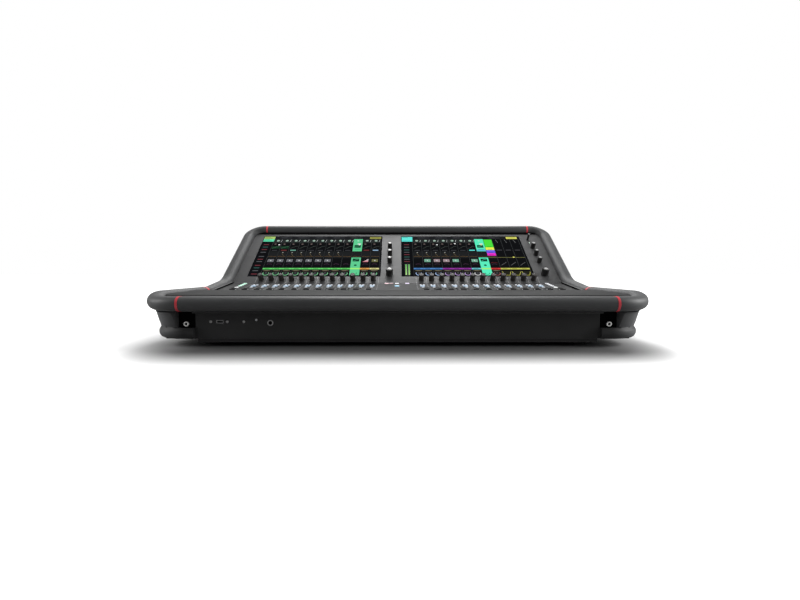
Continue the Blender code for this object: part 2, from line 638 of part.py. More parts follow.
def make_fader_plate():
    """Working surface with a slot for each fader and a hole for each key."""
    outline = [(-PLATE_HALF, -PLATE_FRONT_ROW), (PLATE_HALF, -PLATE_FRONT_ROW),
               (PLATE_HALF, -GAP), (-PLATE_HALF, -GAP)]
    plate = add_object("fader_plate", plate_mesh("fader_plate", outline, PLATE), PANEL, PANEL_PLANE)
    slots = bmesh.new()
    half = STEM_WIDTH / 2 + SLOT_SIDE_CLEARANCE
    for x in STRIP_X:
        add_box(slots, (x - half, -SLOT_CENTRE - SLOT_LENGTH / 2, -2 * PLATE),
                (x + half, -SLOT_CENTRE + SLOT_LENGTH / 2, PLATE))
    combine(plate, add_object("fader_slots", mesh_from(slots, "slots"), None, PANEL_PLANE))
    every_key = [key for keys in strip_keys().values() for key in keys]
    holes = mesh_from(key_shape(every_key, -2 * PLATE, PLATE, GAP), "key_holes")
    combine(plate, add_object("key_holes", holes, None, PANEL_PLANE))


def mat_strips(name, keys):
    """The bars of a group's mat, as corners on the plate: one along each row or column."""
    if name != "layer_keys":
        row, ends = keys[0][1][1], [at[0] for _, at in keys]
        return [((min(ends), row), (max(ends), row))]
    last = -LAYER_KEY_FIRST - LAYER_KEY_PITCH * (LAYER_KEYS - 1)
    bars = [((x, -LAYER_KEY_FIRST), (x, last)) for x in LAYER_KEY_X]
    bars += [((x, -CENTRE_KEY_ROW), (x, -LAYER_MAT_ROW)) for x in CENTRE_KEY_X]
    return bars + [((LAYER_KEY_X[0], -LAYER_MAT_ROW), (LAYER_KEY_X[1], -LAYER_MAT_ROW))]


def make_keys():
    """Four groups of keys, each on its own mat and pressed along the plate's normal."""
    looks = {"upper_keys": KEY_WHITE, "select_keys": KEY_BLUE, "mute_keys": KEY_WHITE,
             "layer_keys": KEY_WHITE}
    top = -PLATE - GAP
    for name, keys in strip_keys().items():
        caps = mesh_from(key_shape(keys, top - KEY_MAT / 2, KEY_PROUD), name)
        made = add_object(name, caps, looks[name], PANEL_PLANE)
        for number, ((x0, y0), (x1, y1)) in enumerate(mat_strips(name, keys)):
            bar, half = bmesh.new(), KEY_MAT_WIDTH / 2
            low, high = top - KEY_MAT, top
            add_box(bar, (x0 - half, min(y0, y1) - half, low), (x1 + half, max(y0, y1) + half, high))
            helper = mesh_from(bar, f"{name}_mat_{number}")
            combine(made, add_object(helper.name, helper, None, PANEL_PLANE), "UNION")


def knob_places():
    """Name, size, shaft radius and place on the fascia of each knob with its own joint."""
    places = []
    for column, x in zip(("centre", "right"), COLUMN_X):
        places.append((column + "_encoder_1", LARGE_ENCODER, SHAFT_RADIUS, (x, LARGE_ENCODER_ROW)))
        for i in range(SMALL_ENCODERS):
            row = SMALL_ENCODER_ROW + SMALL_ENCODER_PITCH * i
            places.append((column + f"_encoder_{i + 2}", SMALL_ENCODER, SHAFT_RADIUS, (x, row)))
    return places + [("trim_knob", TRIM_KNOB, TRIM_SHAFT_RADIUS, TRIM_KNOB_AT)]


def screen_box(shape, left, grow, low, high):
    """A box over one screen's window, larger by grow on each side."""
    add_box(shape, (left - grow, SCREEN_BOTTOM - grow, low),
            (left + SCREEN_WIDTH + grow, SCREEN_BOTTOM + SCREEN_LENGTH + grow, high))


def make_fascia():
    """Sloping plate around the screens and the encoders."""
    radius = HOOD_CORNER_RADIUS - RIM_WIDTH / 2 - RIM_CLEARANCE
    corner = (PLATE_HALF - radius, HOOD_ROW - HOOD_CORNER_RADIUS)
    right = arc(corner, radius, 0.0, pi / 2)
    outline = [(-PLATE_HALF, GAP), (PLATE_HALF, GAP)] + right
    outline += [(-x, y) for x, y in reversed(right)]
    mesh = plate_mesh("screen_fascia", outline, FASCIA)
    fascia = add_object("screen_fascia", mesh, PANEL, SCREEN_PLANE)
    windows = bmesh.new()
    for left in SCREEN_LEFT_X:
        screen_box(windows, left, GAP, -2 * FASCIA, FASCIA)
    combine(fascia, add_object("screen_windows", mesh_from(windows, "windows"), None, SCREEN_PLANE))
    holes = bmesh.new()
    for x in STRIP_X:
        add_disc(holes, SHAFT_RADIUS + GAP, -2 * FASCIA, FASCIA, (x, STRIP_ENCODER_ROW), sides=6)
    for _, _, shaft, at in knob_places():
        add_disc(holes, shaft + GAP, -2 * FASCIA, FASCIA, at)
    combine(fascia, add_object("shaft_holes", mesh_from(holes, "shaft_holes"), None, SCREEN_PLANE))


def make_screens():
    """Touch screens: glass in its window and a wider housing behind the fascia."""
    for name, left in zip(("left_screen", "right_screen"), SCREEN_LEFT_X):
        glass = bmesh.new()
        screen_box(glass, left, 0.0, -FASCIA - 2 * GAP, 0.0)
        housing = bmesh.new()
        screen_box(housing, left, SCREEN_LIP, -FASCIA - GAP - SCREEN_HOUSING, -FASCIA - GAP)
        screen = add_object(name, mesh_from(glass, name), GLASS, SCREEN_PLANE)
        helper = add_object(name + "_housing", mesh_from(housing, name), None, SCREEN_PLANE)
        combine(screen, helper, "UNION")


# Knobs and faders ---------------------------------------------------------------------------
def knob_parts(knob, shaft, at, sides=KNOB_SIDES):
    """The knob and its shaft as two overlapping bmeshes around a place."""
    radius, height = knob
    body, pin = bmesh.new(), bmesh.new()
    add_disc(body, radius, KNOB_STANDOFF, height, at, KNOB_TAPER, sides)
    add_disc(pin, shaft, -SHAFT_DEPTH, KNOB_STANDOFF * 2, at, sides=sides)
    return body, pin


def make_knobs():
    """Encoders beside the screens, each turning on its own shaft."""
    for name, knob, shaft, (x, row) in knob_places():
        place = SCREEN_PLANE @ Matrix.Translation((x, row, 0.0))
        body, pin = knob_parts(knob, shaft, (0.0, 0.0))
        made = add_object(name, mesh_from(body, name, smooth=True), BLACK_PLASTIC, place)
        helper = add_object(name + "_shaft", mesh_from(pin, name + "_shaft"), None, place)
        combine(made, helper, "UNION")


def make_strip_encoders():
    """One encoder above each channel strip, on the board that carries them all."""
    bodies, pins = bmesh.new(), bmesh.new()
    for x in STRIP_X:
        at = (x, STRIP_ENCODER_ROW)
        add_disc(bodies, STRIP_ENCODER[0], KNOB_STANDOFF, STRIP_ENCODER[1], at, KNOB_TAPER, 10)
        add_disc(pins, SHAFT_RADIUS, -SHAFT_DEPTH, 2 * KNOB_STANDOFF, at, sides=6)
    mesh = mesh_from(bodies, "strip_encoders", smooth=True)
    made = add_object("strip_encoders", mesh, BLACK_PLASTIC, SCREEN_PLANE)
    helper = add_object("strip_shafts", mesh_from(pins, "strip_shafts"), None, SCREEN_PLANE)
    combine(made, helper, "UNION")
    board, half = bmesh.new(), ENCODER_BOARD_WIDTH / 2
    end = max(STRIP_X) + half
    add_box(board, (-end, STRIP_ENCODER_ROW - half, -SHAFT_DEPTH - BOARD_THICKNESS / 2),
            (end, STRIP_ENCODER_ROW + half, -SHAFT_DEPTH + BOARD_THICKNESS / 2))
    helper = add_object("encoder_board", mesh_from(board, "encoder_board"), None, SCREEN_PLANE)
    combine(made, helper, "UNION")


def fader_cap_mesh():
    """Tapered cap; its origin is on the plate under its middle."""
    cap = bmesh.new()
    top = CAP_STANDOFF + CAP_HEIGHT
    corners = add_box(cap, (-CAP_WIDTH / 2, -CAP_LENGTH / 2, CAP_STANDOFF),
                      (CAP_WIDTH / 2, CAP_LENGTH / 2, top))
    for corner in corners:
        if corner.co.z > top - GAP:
            corner.co.y *= CAP_TAPER
    return mesh_from(cap, "fader_cap")


def fader_stem_mesh():
    """Flat stem that goes down through the slot to the fader's carriage."""
    stem = bmesh.new()
    add_box(stem, (-STEM_WIDTH / 2, -STEM_LENGTH / 2, -STEM_DEPTH),
            (STEM_WIDTH / 2, STEM_LENGTH / 2, CAP_STANDOFF + CAP_HEIGHT / 2))
    return mesh_from(stem, "fader_stem")


def make_faders():
    """Twenty-four caps, numbered from the left, at the bottom of their travel."""
    cap, stem = fader_cap_mesh(), fader_stem_mesh()
    for number, x in enumerate(sorted(STRIP_X), start=1):
        place = PANEL_PLANE @ Matrix.Translation((x, -FADER_REST, 0.0))
        made = add_object(f"fader_cap_{number:02d}", cap.copy(), BLACK_PLASTIC, place)
        combine(made, add_object(f"fader_stem_{number:02d}", stem, None, place), "UNION")


def make_fader_modules():
    """Motor fader bodies on two bars under the plate, each open on top for the stem."""
    bodies, pockets = bmesh.new(), bmesh.new()
    top = -PLATE - GAP
    for x in STRIP_X:
        add_box(bodies, (x - MODULE_WIDTH / 2, -SLOT_CENTRE - MODULE_LENGTH / 2, top - MODULE_DEPTH),
                (x + MODULE_WIDTH / 2, -SLOT_CENTRE + MODULE_LENGTH / 2, top))
        add_box(pockets, (x - MODULE_POCKET_WIDTH / 2, -SLOT_CENTRE - SLOT_LENGTH / 2,
                          top - MODULE_POCKET_DEPTH),
                (x + MODULE_POCKET_WIDTH / 2, -SLOT_CENTRE + SLOT_LENGTH / 2, top + PLATE))
    made = add_object("fader_modules", mesh_from(bodies, "fader_modules"), GALVANISED, PANEL_PLANE)
    helper = add_object("fader_pockets", mesh_from(pockets, "fader_pockets"), None, PANEL_PLANE)
    combine(made, helper)
    bars, half = bmesh.new(), MODULE_BAR / 2
    end = max(STRIP_X) + MODULE_WIDTH / 2 + GAP
    for row in (SLOT_CENTRE - MODULE_LENGTH / 4, SLOT_CENTRE + MODULE_LENGTH / 4):
        add_box(bars, (-end, -row - half, top - MODULE_DEPTH - SHEET),
                (end, -row + half, top - MODULE_DEPTH + SHEET / 2))
    helper = add_object("module_bars", mesh_from(bars, "module_bars"), None, PANEL_PLANE)
    combine(made, helper, "UNION")


# End cheeks ---------------------------------------------------------------------------------------
def cheek_outline(inset):
    """Plan of the right cheek, set in from the rim's outside."""
    inner = FRONT_PANEL_HALF + GAP
    outer, front, rear = WIDTH / 2 - inset, -DEPTH / 2 + inset, DEPTH / 2 - inset
    radius = RIM_CORNER_RADIUS + RIM_WIDTH / 2 - inset
    back = CHEEK_REAR_RADIUS
    outline = [(inner, front)]
    outline += arc((outer - radius, front + radius), radius, -pi / 2, 0.0)
    outline += [(outer, y) for y in (*rail_rows(), rail_bends()[0][0], FOLD_Y)]
    outline += arc((outer - back, rear - back), back, 0.0, pi / 2)
    return outline + [(inner, rear)]


def cheek_top(y):
    """Height of the cheek's top: close under the rail, and level behind the fold."""
    under = RIM_HEIGHT / 2 + GAP
    climb = slope_z(min(y, FOLD_Y), FOLD_Y, FOLD_Z - RAIL_DROP, RAIL_TILT, under)
    rising = y < RIM_FRONT_Y + sum(RAIL_RISE_PLACE) - GAP
    return max(rim_z(y) - under - (3 * GAP if rising else 0.0), climb)


def cheek_base():
    """Loft of the cheek's plan through its levels, up to the underside of the rim."""
    shape = bmesh.new()
    rings = [[shape.verts.new((x, y, z)) for x, y in cheek_outline(inset)]
             for z, inset in CHEEK_LEVELS]
    rings.append([shape.verts.new((x, y, cheek_top(y if x > CHASSIS_HALF else RIM_FRONT_Y)))
                  for x, y in cheek_outline(CHEEK_TOP_INSET)])
    for lower, upper in zip(rings, rings[1:]):
        for i in range(len(lower)):
            j = (i + 1) % len(lower)
            shape.faces.new((lower[i], lower[j], upper[j], upper[i]))
    shape.faces.new(list(reversed(rings[0])))
    shape.faces.new(rings[-1])
    bmesh.ops.triangulate(shape, faces=shape.faces)
    bmesh.ops.recalc_face_normals(shape, faces=shape.faces)
    return shape


def cheek_upper_outline():
    """Wedge of the cheek beside the screens, in Y and Z."""
    under = RIM_HEIGHT / 2 + GAP
    low = CHEEK_LEVELS[-2][0]
    start = HOOD_Y + (low - HOOD_Z + under / cos(SCREEN_TILT)) / tan(SCREEN_TILT)
    rear = CHASSIS_REAR_Y + CHEEK_UPPER_LAP
    top = slope_z(rear, HOOD_Y, HOOD_Z, SCREEN_TILT, under + CHEEK_CORNER_DROP)
    corner_y = HOOD_Y - HOOD_CORNER_RADIUS * cos(SCREEN_TILT)
    corner_z = slope_z(corner_y, HOOD_Y, HOOD_Z, SCREEN_TILT, under)
    return [(start, low), (rear, low), (rear, top), (corner_y, corner_z)]


def cheek_clearance():
    """What the chassis and the bolt's recess take out of the right cheek."""
    space = bmesh.new()
    add_box(space, (0.0, CHASSIS_FRONT_Y - GAP, 0.0), (CHASSIS_HALF + GAP, DEPTH, HEIGHT))
    add_box(space, (FRONT_PANEL_HALF + RECESS_SIDES[0], -DEPTH, RECESS_BOTTOM),
            (FRONT_PANEL_HALF + RECESS_SIDES[1], CHASSIS_FRONT_Y - RECESS_WALL, HEIGHT))
    return space


def make_cheeks():
    """Moulded ends under the rails, mirrored left to right."""
    for name, side in (("right_cheek", 1), ("left_cheek", -1)):
        flip = Matrix.Scale(side, 4, (1.0, 0.0, 0.0))
        base, space = cheek_base(), cheek_clearance()
        upper = plate_mesh(name + "_upper", cheek_upper_outline(),
                           WIDTH / 2 - CHEEK_UPPER_INSET - CHASSIS_HALF + SHEET)
        wedge = bmesh.new()
        wedge.from_mesh(upper)
        shift = Matrix.Translation((WIDTH / 2 - CHEEK_UPPER_INSET, 0.0, 0.0)) @ SIDEWAYS
        bmesh.ops.transform(wedge, matrix=shift, verts=wedge.verts)
        for shape in (base, space, wedge):
            bmesh.ops.transform(shape, matrix=flip, verts=shape.verts)
            bmesh.ops.recalc_face_normals(shape, faces=shape.faces)
        cheek = add_object(name, mesh_from(base, name, smooth=True), SOFT_RIM)
        combine(cheek, add_object(name + "_wedge", mesh_from(wedge, name + "_wedge")), "UNION")
        combine(cheek, add_object(name + "_space", mesh_from(space, name + "_space")))


# Rear panel and sockets -----------------------------------------------------------------------
def xlr_places():
    """Centres of the microphone and line sockets, in X and Z."""
    return [(x, z) for z in XLR_ROWS for x in XLR_X]


def audio_places():
    """Centres of all the round sockets, the network ones included."""
    return xlr_places() + [(x, XLR_ROWS[0]) for x in NETWORK_X]


def add_rectangle(shape, at, size, low, high, grow=0.0):
    """A box of a size around a place, between two heights; local y runs down on the rear."""
    half_x, half_y = size[0] / 2 + grow, size[1] / 2 + grow
    add_box(shape, (at[0] - half_x, -at[1] - half_y, low), (at[0] + half_x, -at[1] + half_y, high))


def audio_bodies(grow, low, high):
    """Shells of the audio and network sockets, or, larger by grow, the holes for them."""
    shape = bmesh.new()
    for x, z in audio_places():
        add_disc(shape, XLR_SHELL + grow, low, high, (x, -z))
    return shape


def mains_bodies(grow, low, high):
    """Bodies of the mains inlet and the switch, or, larger by grow, the holes for them."""
    shape = bmesh.new()
    add_rectangle(shape, INLET_AT, INLET_BODY, low, high, grow)
    add_rectangle(shape, SWITCH_AT, SWITCH_BODY, low, high, grow)
    return shape


def rear_vents():
    """Two banks of upright ventilation slots."""
    shape = bmesh.new()
    for middle in VENT_X:
        first = middle - VENT_PITCH * (VENT_SLOTS - 1) / 2
        for i in range(VENT_SLOTS):
            at = (first + VENT_PITCH * i, HOOD_Z - VENT_DROP)
            add_rectangle(shape, at, VENT_SIZE, -2 * SHEET, SHEET)
    return shape


def make_rear_panel():
    """Rear cover from the floor to the hood rail, cut for the sockets and the vents."""
    panel = bmesh.new()
    add_box(panel, (-CHASSIS_HALF, REAR_FACE_Y - SHEET, FLOOR_Z),
            (CHASSIS_HALF, REAR_FACE_Y, HOOD_Z - RIM_HEIGHT / 2 - GAP))
    rear = add_object("rear_panel", mesh_from(panel, "rear_panel"), BLACK_METAL)
    for name, bodies in (("audio_holes", audio_bodies), ("mains_holes", mains_bodies)):
        holes = mesh_from(bodies(GAP, -2 * SHEET, SHEET), name)
        combine(rear, add_object(name, holes, None, REAR_PLANE))
    combine(rear, add_object("rear_vents", mesh_from(rear_vents(), "rear_vents"), None, REAR_PLANE))


def build_group(name, look, place, base, joined, cavities):
    """One solid from a base shape, shapes joined to it in turn, and the cavities cut last."""
    made = add_object(name, mesh_from(base, name), look, place)
    for number, shape in enumerate(joined):
        helper = mesh_from(shape, f"{name}_joined_{number}")
        combine(made, add_object(helper.name, helper, None, place), "UNION")
    helper = mesh_from(cavities, name + "_cavities")
    combine(made, add_object(helper.name, helper, None, place))
    return made


def make_front_sockets():
    """USB shell, jack with its ring, and the lamp, on one small board."""
    board, bodies, rings, cavities = bmesh.new(), bmesh.new(), bmesh.new(), bmesh.new()
    add_box(board, (USB_AT[0] - USB_SHELL[0], USB_AT[1] - FRONT_BOARD / 2, -FRONT_BOARD_DEPTH),
            (JACK_AT[0] + 2 * JACK_BARREL, USB_AT[1] + FRONT_BOARD / 2,
             -FRONT_BOARD_DEPTH + BOARD_THICKNESS))
    add_box(bodies, (USB_AT[0] - USB_SHELL[0] / 2, USB_AT[1] - USB_SHELL[1] / 2, -USB_DEPTH),
            (USB_AT[0] + USB_SHELL[0] / 2, USB_AT[1] + USB_SHELL[1] / 2, GAP))
    add_disc(bodies, LED_RADIUS, -USB_DEPTH, RING_PROUD, LED_AT)
    add_disc(bodies, JACK_BARREL, -JACK_DEPTH, RING_PROUD / 2, JACK_AT)
    add_disc(rings, JACK_RING, GAP, RING_PROUD, JACK_AT)
    add_box(cavities, (USB_AT[0] - USB_CAVITY[0] / 2, USB_AT[1] - USB_CAVITY[1] / 2,
                       -USB_DEPTH + SHEET),
            (USB_AT[0] + USB_CAVITY[0] / 2, USB_AT[1] + USB_CAVITY[1] / 2, SHEET))
    add_disc(cavities, JACK_BORE, -JACK_DEPTH + SHEET, 2 * SHEET, JACK_AT)
    build_group("front_sockets", BLACK_PLASTIC, FRONT_PLANE, board, (bodies, rings), cavities)


def make_audio_board():
    """Upright board behind the rear panel with the microphone, line and network sockets."""
    board, flanges, cavities = bmesh.new(), bmesh.new(), bmesh.new()
    out = 3 * XLR_FLANGE_THICK
    edge = XLR_FLANGE[0] / 2
    add_box(board, (XLR_X[0] - edge, -XLR_ROWS[1] - edge, -XLR_DEPTH - BOARD_THICKNESS),
            (NETWORK_X[1] + edge, -XLR_ROWS[0] + edge, -XLR_DEPTH + GAP))
    for at in audio_places():
        add_rectangle(flanges, at, XLR_FLANGE, GAP, XLR_FLANGE_THICK)
    for x, z in xlr_places():
        add_disc(cavities, XLR_CAVITY, -XLR_CAVITY_DEPTH, out, (x, -z))
    for x in NETWORK_X:
        add_rectangle(cavities, (x, XLR_ROWS[0]), NETWORK_CAVITY, -XLR_CAVITY_DEPTH, out)
    shells = audio_bodies(0.0, -XLR_DEPTH, 2 * GAP)
    build_group("audio_board", BLACK_PLASTIC, REAR_PLANE, board, (shells, flanges), cavities)


def make_power_supply():
    """Boxed supply on the chassis floor, with the mains inlet and the switch on its back."""
    case, flanges, cavities = bmesh.new(), bmesh.new(), bmesh.new()
    width, length, height = SUPPLY_SIZE
    base = FLOOR_Z + SHEET + GAP
    back = REAR_FACE_Y - SUPPLY_AT[1] - length / 2
    add_box(case, (SUPPLY_AT[0] - width / 2, -base - height, -back - length),
            (SUPPLY_AT[0] + width / 2, -base, -back))
    bodies = mains_bodies(0.0, -back - 2 * SHEET, 2 * GAP)
    add_rectangle(flanges, INLET_AT, INLET_FLANGE, GAP, XLR_FLANGE_THICK)
    add_rectangle(flanges, SWITCH_AT, SWITCH_FLANGE, GAP, XLR_FLANGE_THICK)
    out = 3 * XLR_FLANGE_THICK
    add_rectangle(cavities, INLET_AT, INLET_CAVITY, -INLET_DEPTH, out)
    add_rectangle(cavities, SWITCH_AT, SWITCH_CAVITY, -ROCKER_SUNK - ROCKER_RADIUS - GAP, out)
    build_group("power_supply", GALVANISED, REAR_PLANE, case, (bodies, flanges), cavities)


def make_power_switch():
    """Rocker drum that turns about X in its cavity, dished on the outside."""
    drum = bmesh.new()
    half = SWITCH_CAVITY[0] / 2 - GAP
    turn = Matrix.Rotation(pi / 2, 4, "Y")
    bmesh.ops.create_cone(drum, cap_ends=True, segments=24, radius1=ROCKER_RADIUS,
                          radius2=ROCKER_RADIUS, depth=2 * half, matrix=turn)
    place = Matrix.Translation((SWITCH_AT[0], REAR_FACE_Y - ROCKER_SUNK, SWITCH_AT[1]))
    rocker = add_object("power_switch", mesh_from(drum, "power_switch"), BLACK_PLASTIC, place)
    dish = bmesh.new()
    bmesh.ops.create_cone(dish, cap_ends=True, segments=24, radius1=2 * ROCKER_RADIUS,
                          radius2=2 * ROCKER_RADIUS, depth=4 * half, matrix=turn)
    reach = 3 * ROCKER_RADIUS - ROCKER_DISH
    dish_place = place @ Matrix.Translation((0.0, reach, 0.0))
    combine(rocker, add_object("rocker_dish", mesh_from(dish, "rocker_dish"), None, dish_place))


# Feet and main board ------------------------------------------------------------------------
def make_feet():
    """Two rubber runners under the chassis, tapered towards the table."""
    middle, end = CHASSIS_HALF - FOOT_INSET, DEPTH / 2 - FOOT_END_INSET
    for name, x in (("left_foot", -middle), ("right_foot", middle)):
        shape = bmesh.new()
        corners = add_box(shape, (x - FOOT_WIDTH / 2, -end, 0.0),
                          (x + FOOT_WIDTH / 2, end, FLOOR_Z - GAP))
        for corner in corners:
            if corner.co.z < GAP:
                corner.co.x = x + (corner.co.x - x) * FOOT_TAPER
        add_object(name, mesh_from(shape, name), RUBBER)


def make_main_board():
    """Processing board on spacers, with its large chips."""
    board, extras = bmesh.new(), bmesh.new()
    low, thick = FLOOR_Z + SHEET + GAP + BOARD_SPACER, BOARD_THICKNESS
    left = BOARD_MARGINS[0] - CHASSIS_HALF
    right = SUPPLY_AT[0] - SUPPLY_SIZE[0] / 2 - BOARD_MARGINS[1]
    middle, y = (left + right) / 2, CHASSIS_REAR_Y - BOARD_REAR
    add_box(board, (left, y - BOARD_LENGTH / 2, low), (right, y + BOARD_LENGTH / 2, low + thick))
    for x in (left + BOARD_SPACER_INSET, middle, right - BOARD_SPACER_INSET):
        for along in (-1, 1):
            spot = (x, y + along * (BOARD_LENGTH / 2 - BOARD_SPACER_INSET))
            add_disc(extras, BOARD_SPACER_RADIUS, low - BOARD_SPACER, low + thick / 2, spot, sides=8)
    for offset, side in BOARD_CHIPS:
        add_box(extras, (middle + offset - side / 2, y - side / 2, low + thick / 2),
                (middle + offset + side / 2, y + side / 2, low + 3 * thick))
    made = add_object("main_board", mesh_from(board, "main_board"), BOARD_GREEN)
    combine(made, add_object("board_extras", mesh_from(extras, "board_extras")), "UNION")


def main():
    """Build the console from the floor up."""
    make_chassis()
    make_front_panel()
    make_rear_panel()
    make_power_supply()
    make_power_switch()
    make_main_board()
    make_audio_board()
    make_front_sockets()
    make_feet()
    make_rim()
    make_palm_rest()
    make_cheeks()
    make_fader_plate()
    make_fader_modules()
    make_fascia()
    make_screens()
    make_keys()
    make_strip_encoders()
    make_knobs()
    make_faders()


main()
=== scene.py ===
"""Looks of a digital mixing console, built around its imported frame.

Lengths are in metres. +X is the operator's right, +Y the back and +Z up. Each sub-assembly is a
class that holds its sizes and builds, dresses and publishes its own pieces.
"""

import logging
from dataclasses import dataclass
from enum import Enum
from functools import cached_property
from math import asin, atan2, cos, hypot, pi, radians, sin, tan
from typing import Callable, Iterable, Sequence

import bmesh
import bpy
from mathutils import Matrix, Vector

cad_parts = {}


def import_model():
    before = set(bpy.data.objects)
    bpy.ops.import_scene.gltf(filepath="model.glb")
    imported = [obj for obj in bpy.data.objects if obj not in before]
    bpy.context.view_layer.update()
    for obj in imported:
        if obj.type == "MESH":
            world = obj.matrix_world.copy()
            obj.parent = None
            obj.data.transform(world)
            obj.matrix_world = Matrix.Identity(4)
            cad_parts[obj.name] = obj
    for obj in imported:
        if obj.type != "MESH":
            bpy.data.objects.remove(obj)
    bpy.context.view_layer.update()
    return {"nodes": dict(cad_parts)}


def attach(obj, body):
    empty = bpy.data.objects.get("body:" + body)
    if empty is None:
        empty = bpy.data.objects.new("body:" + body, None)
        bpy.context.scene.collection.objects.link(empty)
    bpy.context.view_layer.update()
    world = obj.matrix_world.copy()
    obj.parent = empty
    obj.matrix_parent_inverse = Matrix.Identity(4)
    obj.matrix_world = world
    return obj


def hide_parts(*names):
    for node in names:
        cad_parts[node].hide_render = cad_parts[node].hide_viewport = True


LOG = logging.getLogger("mixing_console")
ROOT = "console"

Point2 = tuple[float, float]
Point3 = tuple[float, float, float]
Colour = tuple[float, float, float]
Socket = bpy.types.NodeSocket


class Slot(Enum):
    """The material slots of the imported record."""

    SOFT_RIM = "soft_rim"
    GREY_PANEL = "grey_panel"
    BLACK_PANEL = "black_panel"
    GALVANISED = "galvanised_sheet"
    GLASS = "screen_glass"
    BLACK_PLASTIC = "black_plastic"
    WHITE_KEY = "white_key"
    BLUE_KEY = "blue_key"


def linear(red: float, green: float, blue: float) -> Colour:
    """Linear colour of display values from 0 to 255."""

    def channel(value: float) -> float:
        """One channel."""
        share = value / 255
        return share / 12.92 if share <= 0.04045 else ((share + 0.055) / 1.055) ** 2.4

    return channel(red), channel(green), channel(blue)


# Sizes that several sub-assemblies share -----------------------------------------------------
@dataclass(frozen=True)
class Layout:
    """Where the console's main lines and planes lie."""

    width: float = 0.911
    depth: float = 0.624
    height: float = 0.269
    rim_width: float = 0.031
    rim_height: float = 0.0265
    hood_centre: float = 0.014
    hood_lift: float = 0.0007
    rim_front_z: float = 0.0766
    rail_rise: float = 0.0072
    rise_start: float = 0.0065
    rise_length: float = 0.066
    side_steps: int = 8
    rail_tilt: float = radians(8.7)
    rail_drop: float = 0.0013
    knee_radius: float = 0.100
    corner_radius: float = 0.0675
    bend_radius: float = 0.110
    hood_radius: float = 0.0415
    seam: float = 0.0025
    fold_back: float = 0.2149
    fold_z: float = 0.1015
    hood_drop: float = 0.00121
    panel_tilt: float = radians(7.0)
    strip_pitch: float = 0.0265
    strips_per_bank: int = 12
    bank_inner: float = 0.0623
    floor_z: float = 0.008
    chassis_half: float = 0.406
    front_face_y: float = -0.2843
    rear_face_y: float = 0.2883
    front_panel_half: float = 0.352

    @property
    def rim_x(self) -> float:
        """Centre line of the side rails."""
        return (self.width - self.rim_width) / 2

    @property
    def rim_front_y(self) -> float:
        """Centre line of the front bumper."""
        return (self.rim_width - self.depth) / 2

    @property
    def front_seam_x(self) -> float:
        """Where the front bumper meets the right rail."""
        return self.rim_x - self.corner_radius - self.seam

    @property
    def hood_seam_x(self) -> float:
        """Where the hood rail meets the right rail."""
        return self.rim_x - self.hood_radius - self.seam

    @property
    def hood_y(self) -> float:
        """Centre line of the hood rail."""
        return (self.depth - self.rim_width) / 2

    @property
    def hood_z(self) -> float:
        """Height of the hood rail's centre line."""
        return self.height - self.hood_centre

    @property
    def fold_y(self) -> float:
        """Where the working surface turns up into the fascia."""
        return self.hood_y - self.fold_back

    @property
    def screen_tilt(self) -> float:
        """Slope of the fascia."""
        rise = self.hood_z - self.fold_z
        return atan2(rise, self.fold_back) + asin(self.hood_drop / hypot(rise, self.fold_back))

    @property
    def panel(self) -> Matrix:
        """Plane of the working surface, local y up the slope from the fold."""
        return self._tilted(self.panel_tilt)

    @property
    def screen(self) -> Matrix:
        """Plane of the fascia, local y up the slope from the fold."""
        return self._tilted(self.screen_tilt)

    @property
    def front(self) -> Matrix:
        """Plane of the front panel, local z outwards and local y up."""
        return Matrix.Translation((0.0, self.front_face_y, 0.0)) @ Matrix.Rotation(pi / 2, 4, "X")

    @property
    def rear(self) -> Matrix:
        """Plane of the rear panel, local z outwards and local y up."""
        turn = Matrix.Rotation(pi, 4, "Z") @ Matrix.Rotation(pi / 2, 4, "X")
        return Matrix.Translation((0.0, self.rear_face_y, 0.0)) @ turn

    @property
    def strips(self) -> list[float]:
        """Centre of every channel strip, from the left."""
        reach = [self.bank_inner + self.strip_pitch * i for i in range(self.strips_per_bank)]
        return [-x for x in reversed(reach)] + reach

    def _tilted(self, tilt: float) -> Matrix:
        """A plane that leaves the fold line at a slope."""
        return Matrix.Translation((0.0, self.fold_y, self.fold_z)) @ Matrix.Rotation(tilt, 4, "X")

    def rim_z(self, y: float) -> float:
        """Height of the rim's centre line from the front as far as the knee."""
        share = min(max((y - self.rim_front_y - self.rise_start) / self.rise_length, 0.0), 1.0)
        return self.rim_front_z + self.rail_rise * share**2 * (3 - 2 * share)

    @property
    def bends(self) -> tuple[Point2, Point2]:
        """Where the rail's stretches would cross, in Y and Z: at the knee and at the fold."""
        level, fold = self.rim_front_z + self.rail_rise, self.fold_z - self.rail_drop
        knee_y = self.fold_y + (level - fold) / tan(self.rail_tilt)
        slope = self.hood_z + self.hood_lift - self.hood_y * tan(self.screen_tilt)
        y = (fold - self.fold_y * tan(self.rail_tilt) - slope) / (
            tan(self.screen_tilt) - tan(self.rail_tilt))
        return (knee_y, level), (y, slope + y * tan(self.screen_tilt))

    @property
    def rise_end(self) -> float:
        """Where the rails stop rising behind the front corners."""
        return self.rim_front_y + self.rise_start + self.rise_length

    @property
    def side_rows(self) -> list[float]:
        """Places along the side where the rail's height is set before the knee."""
        first, steps = self.rim_front_y + self.corner_radius, self.side_steps
        return [first + (self.rise_end - first) * i / steps for i in range(1, steps + 1)]


LAYOUT = Layout()


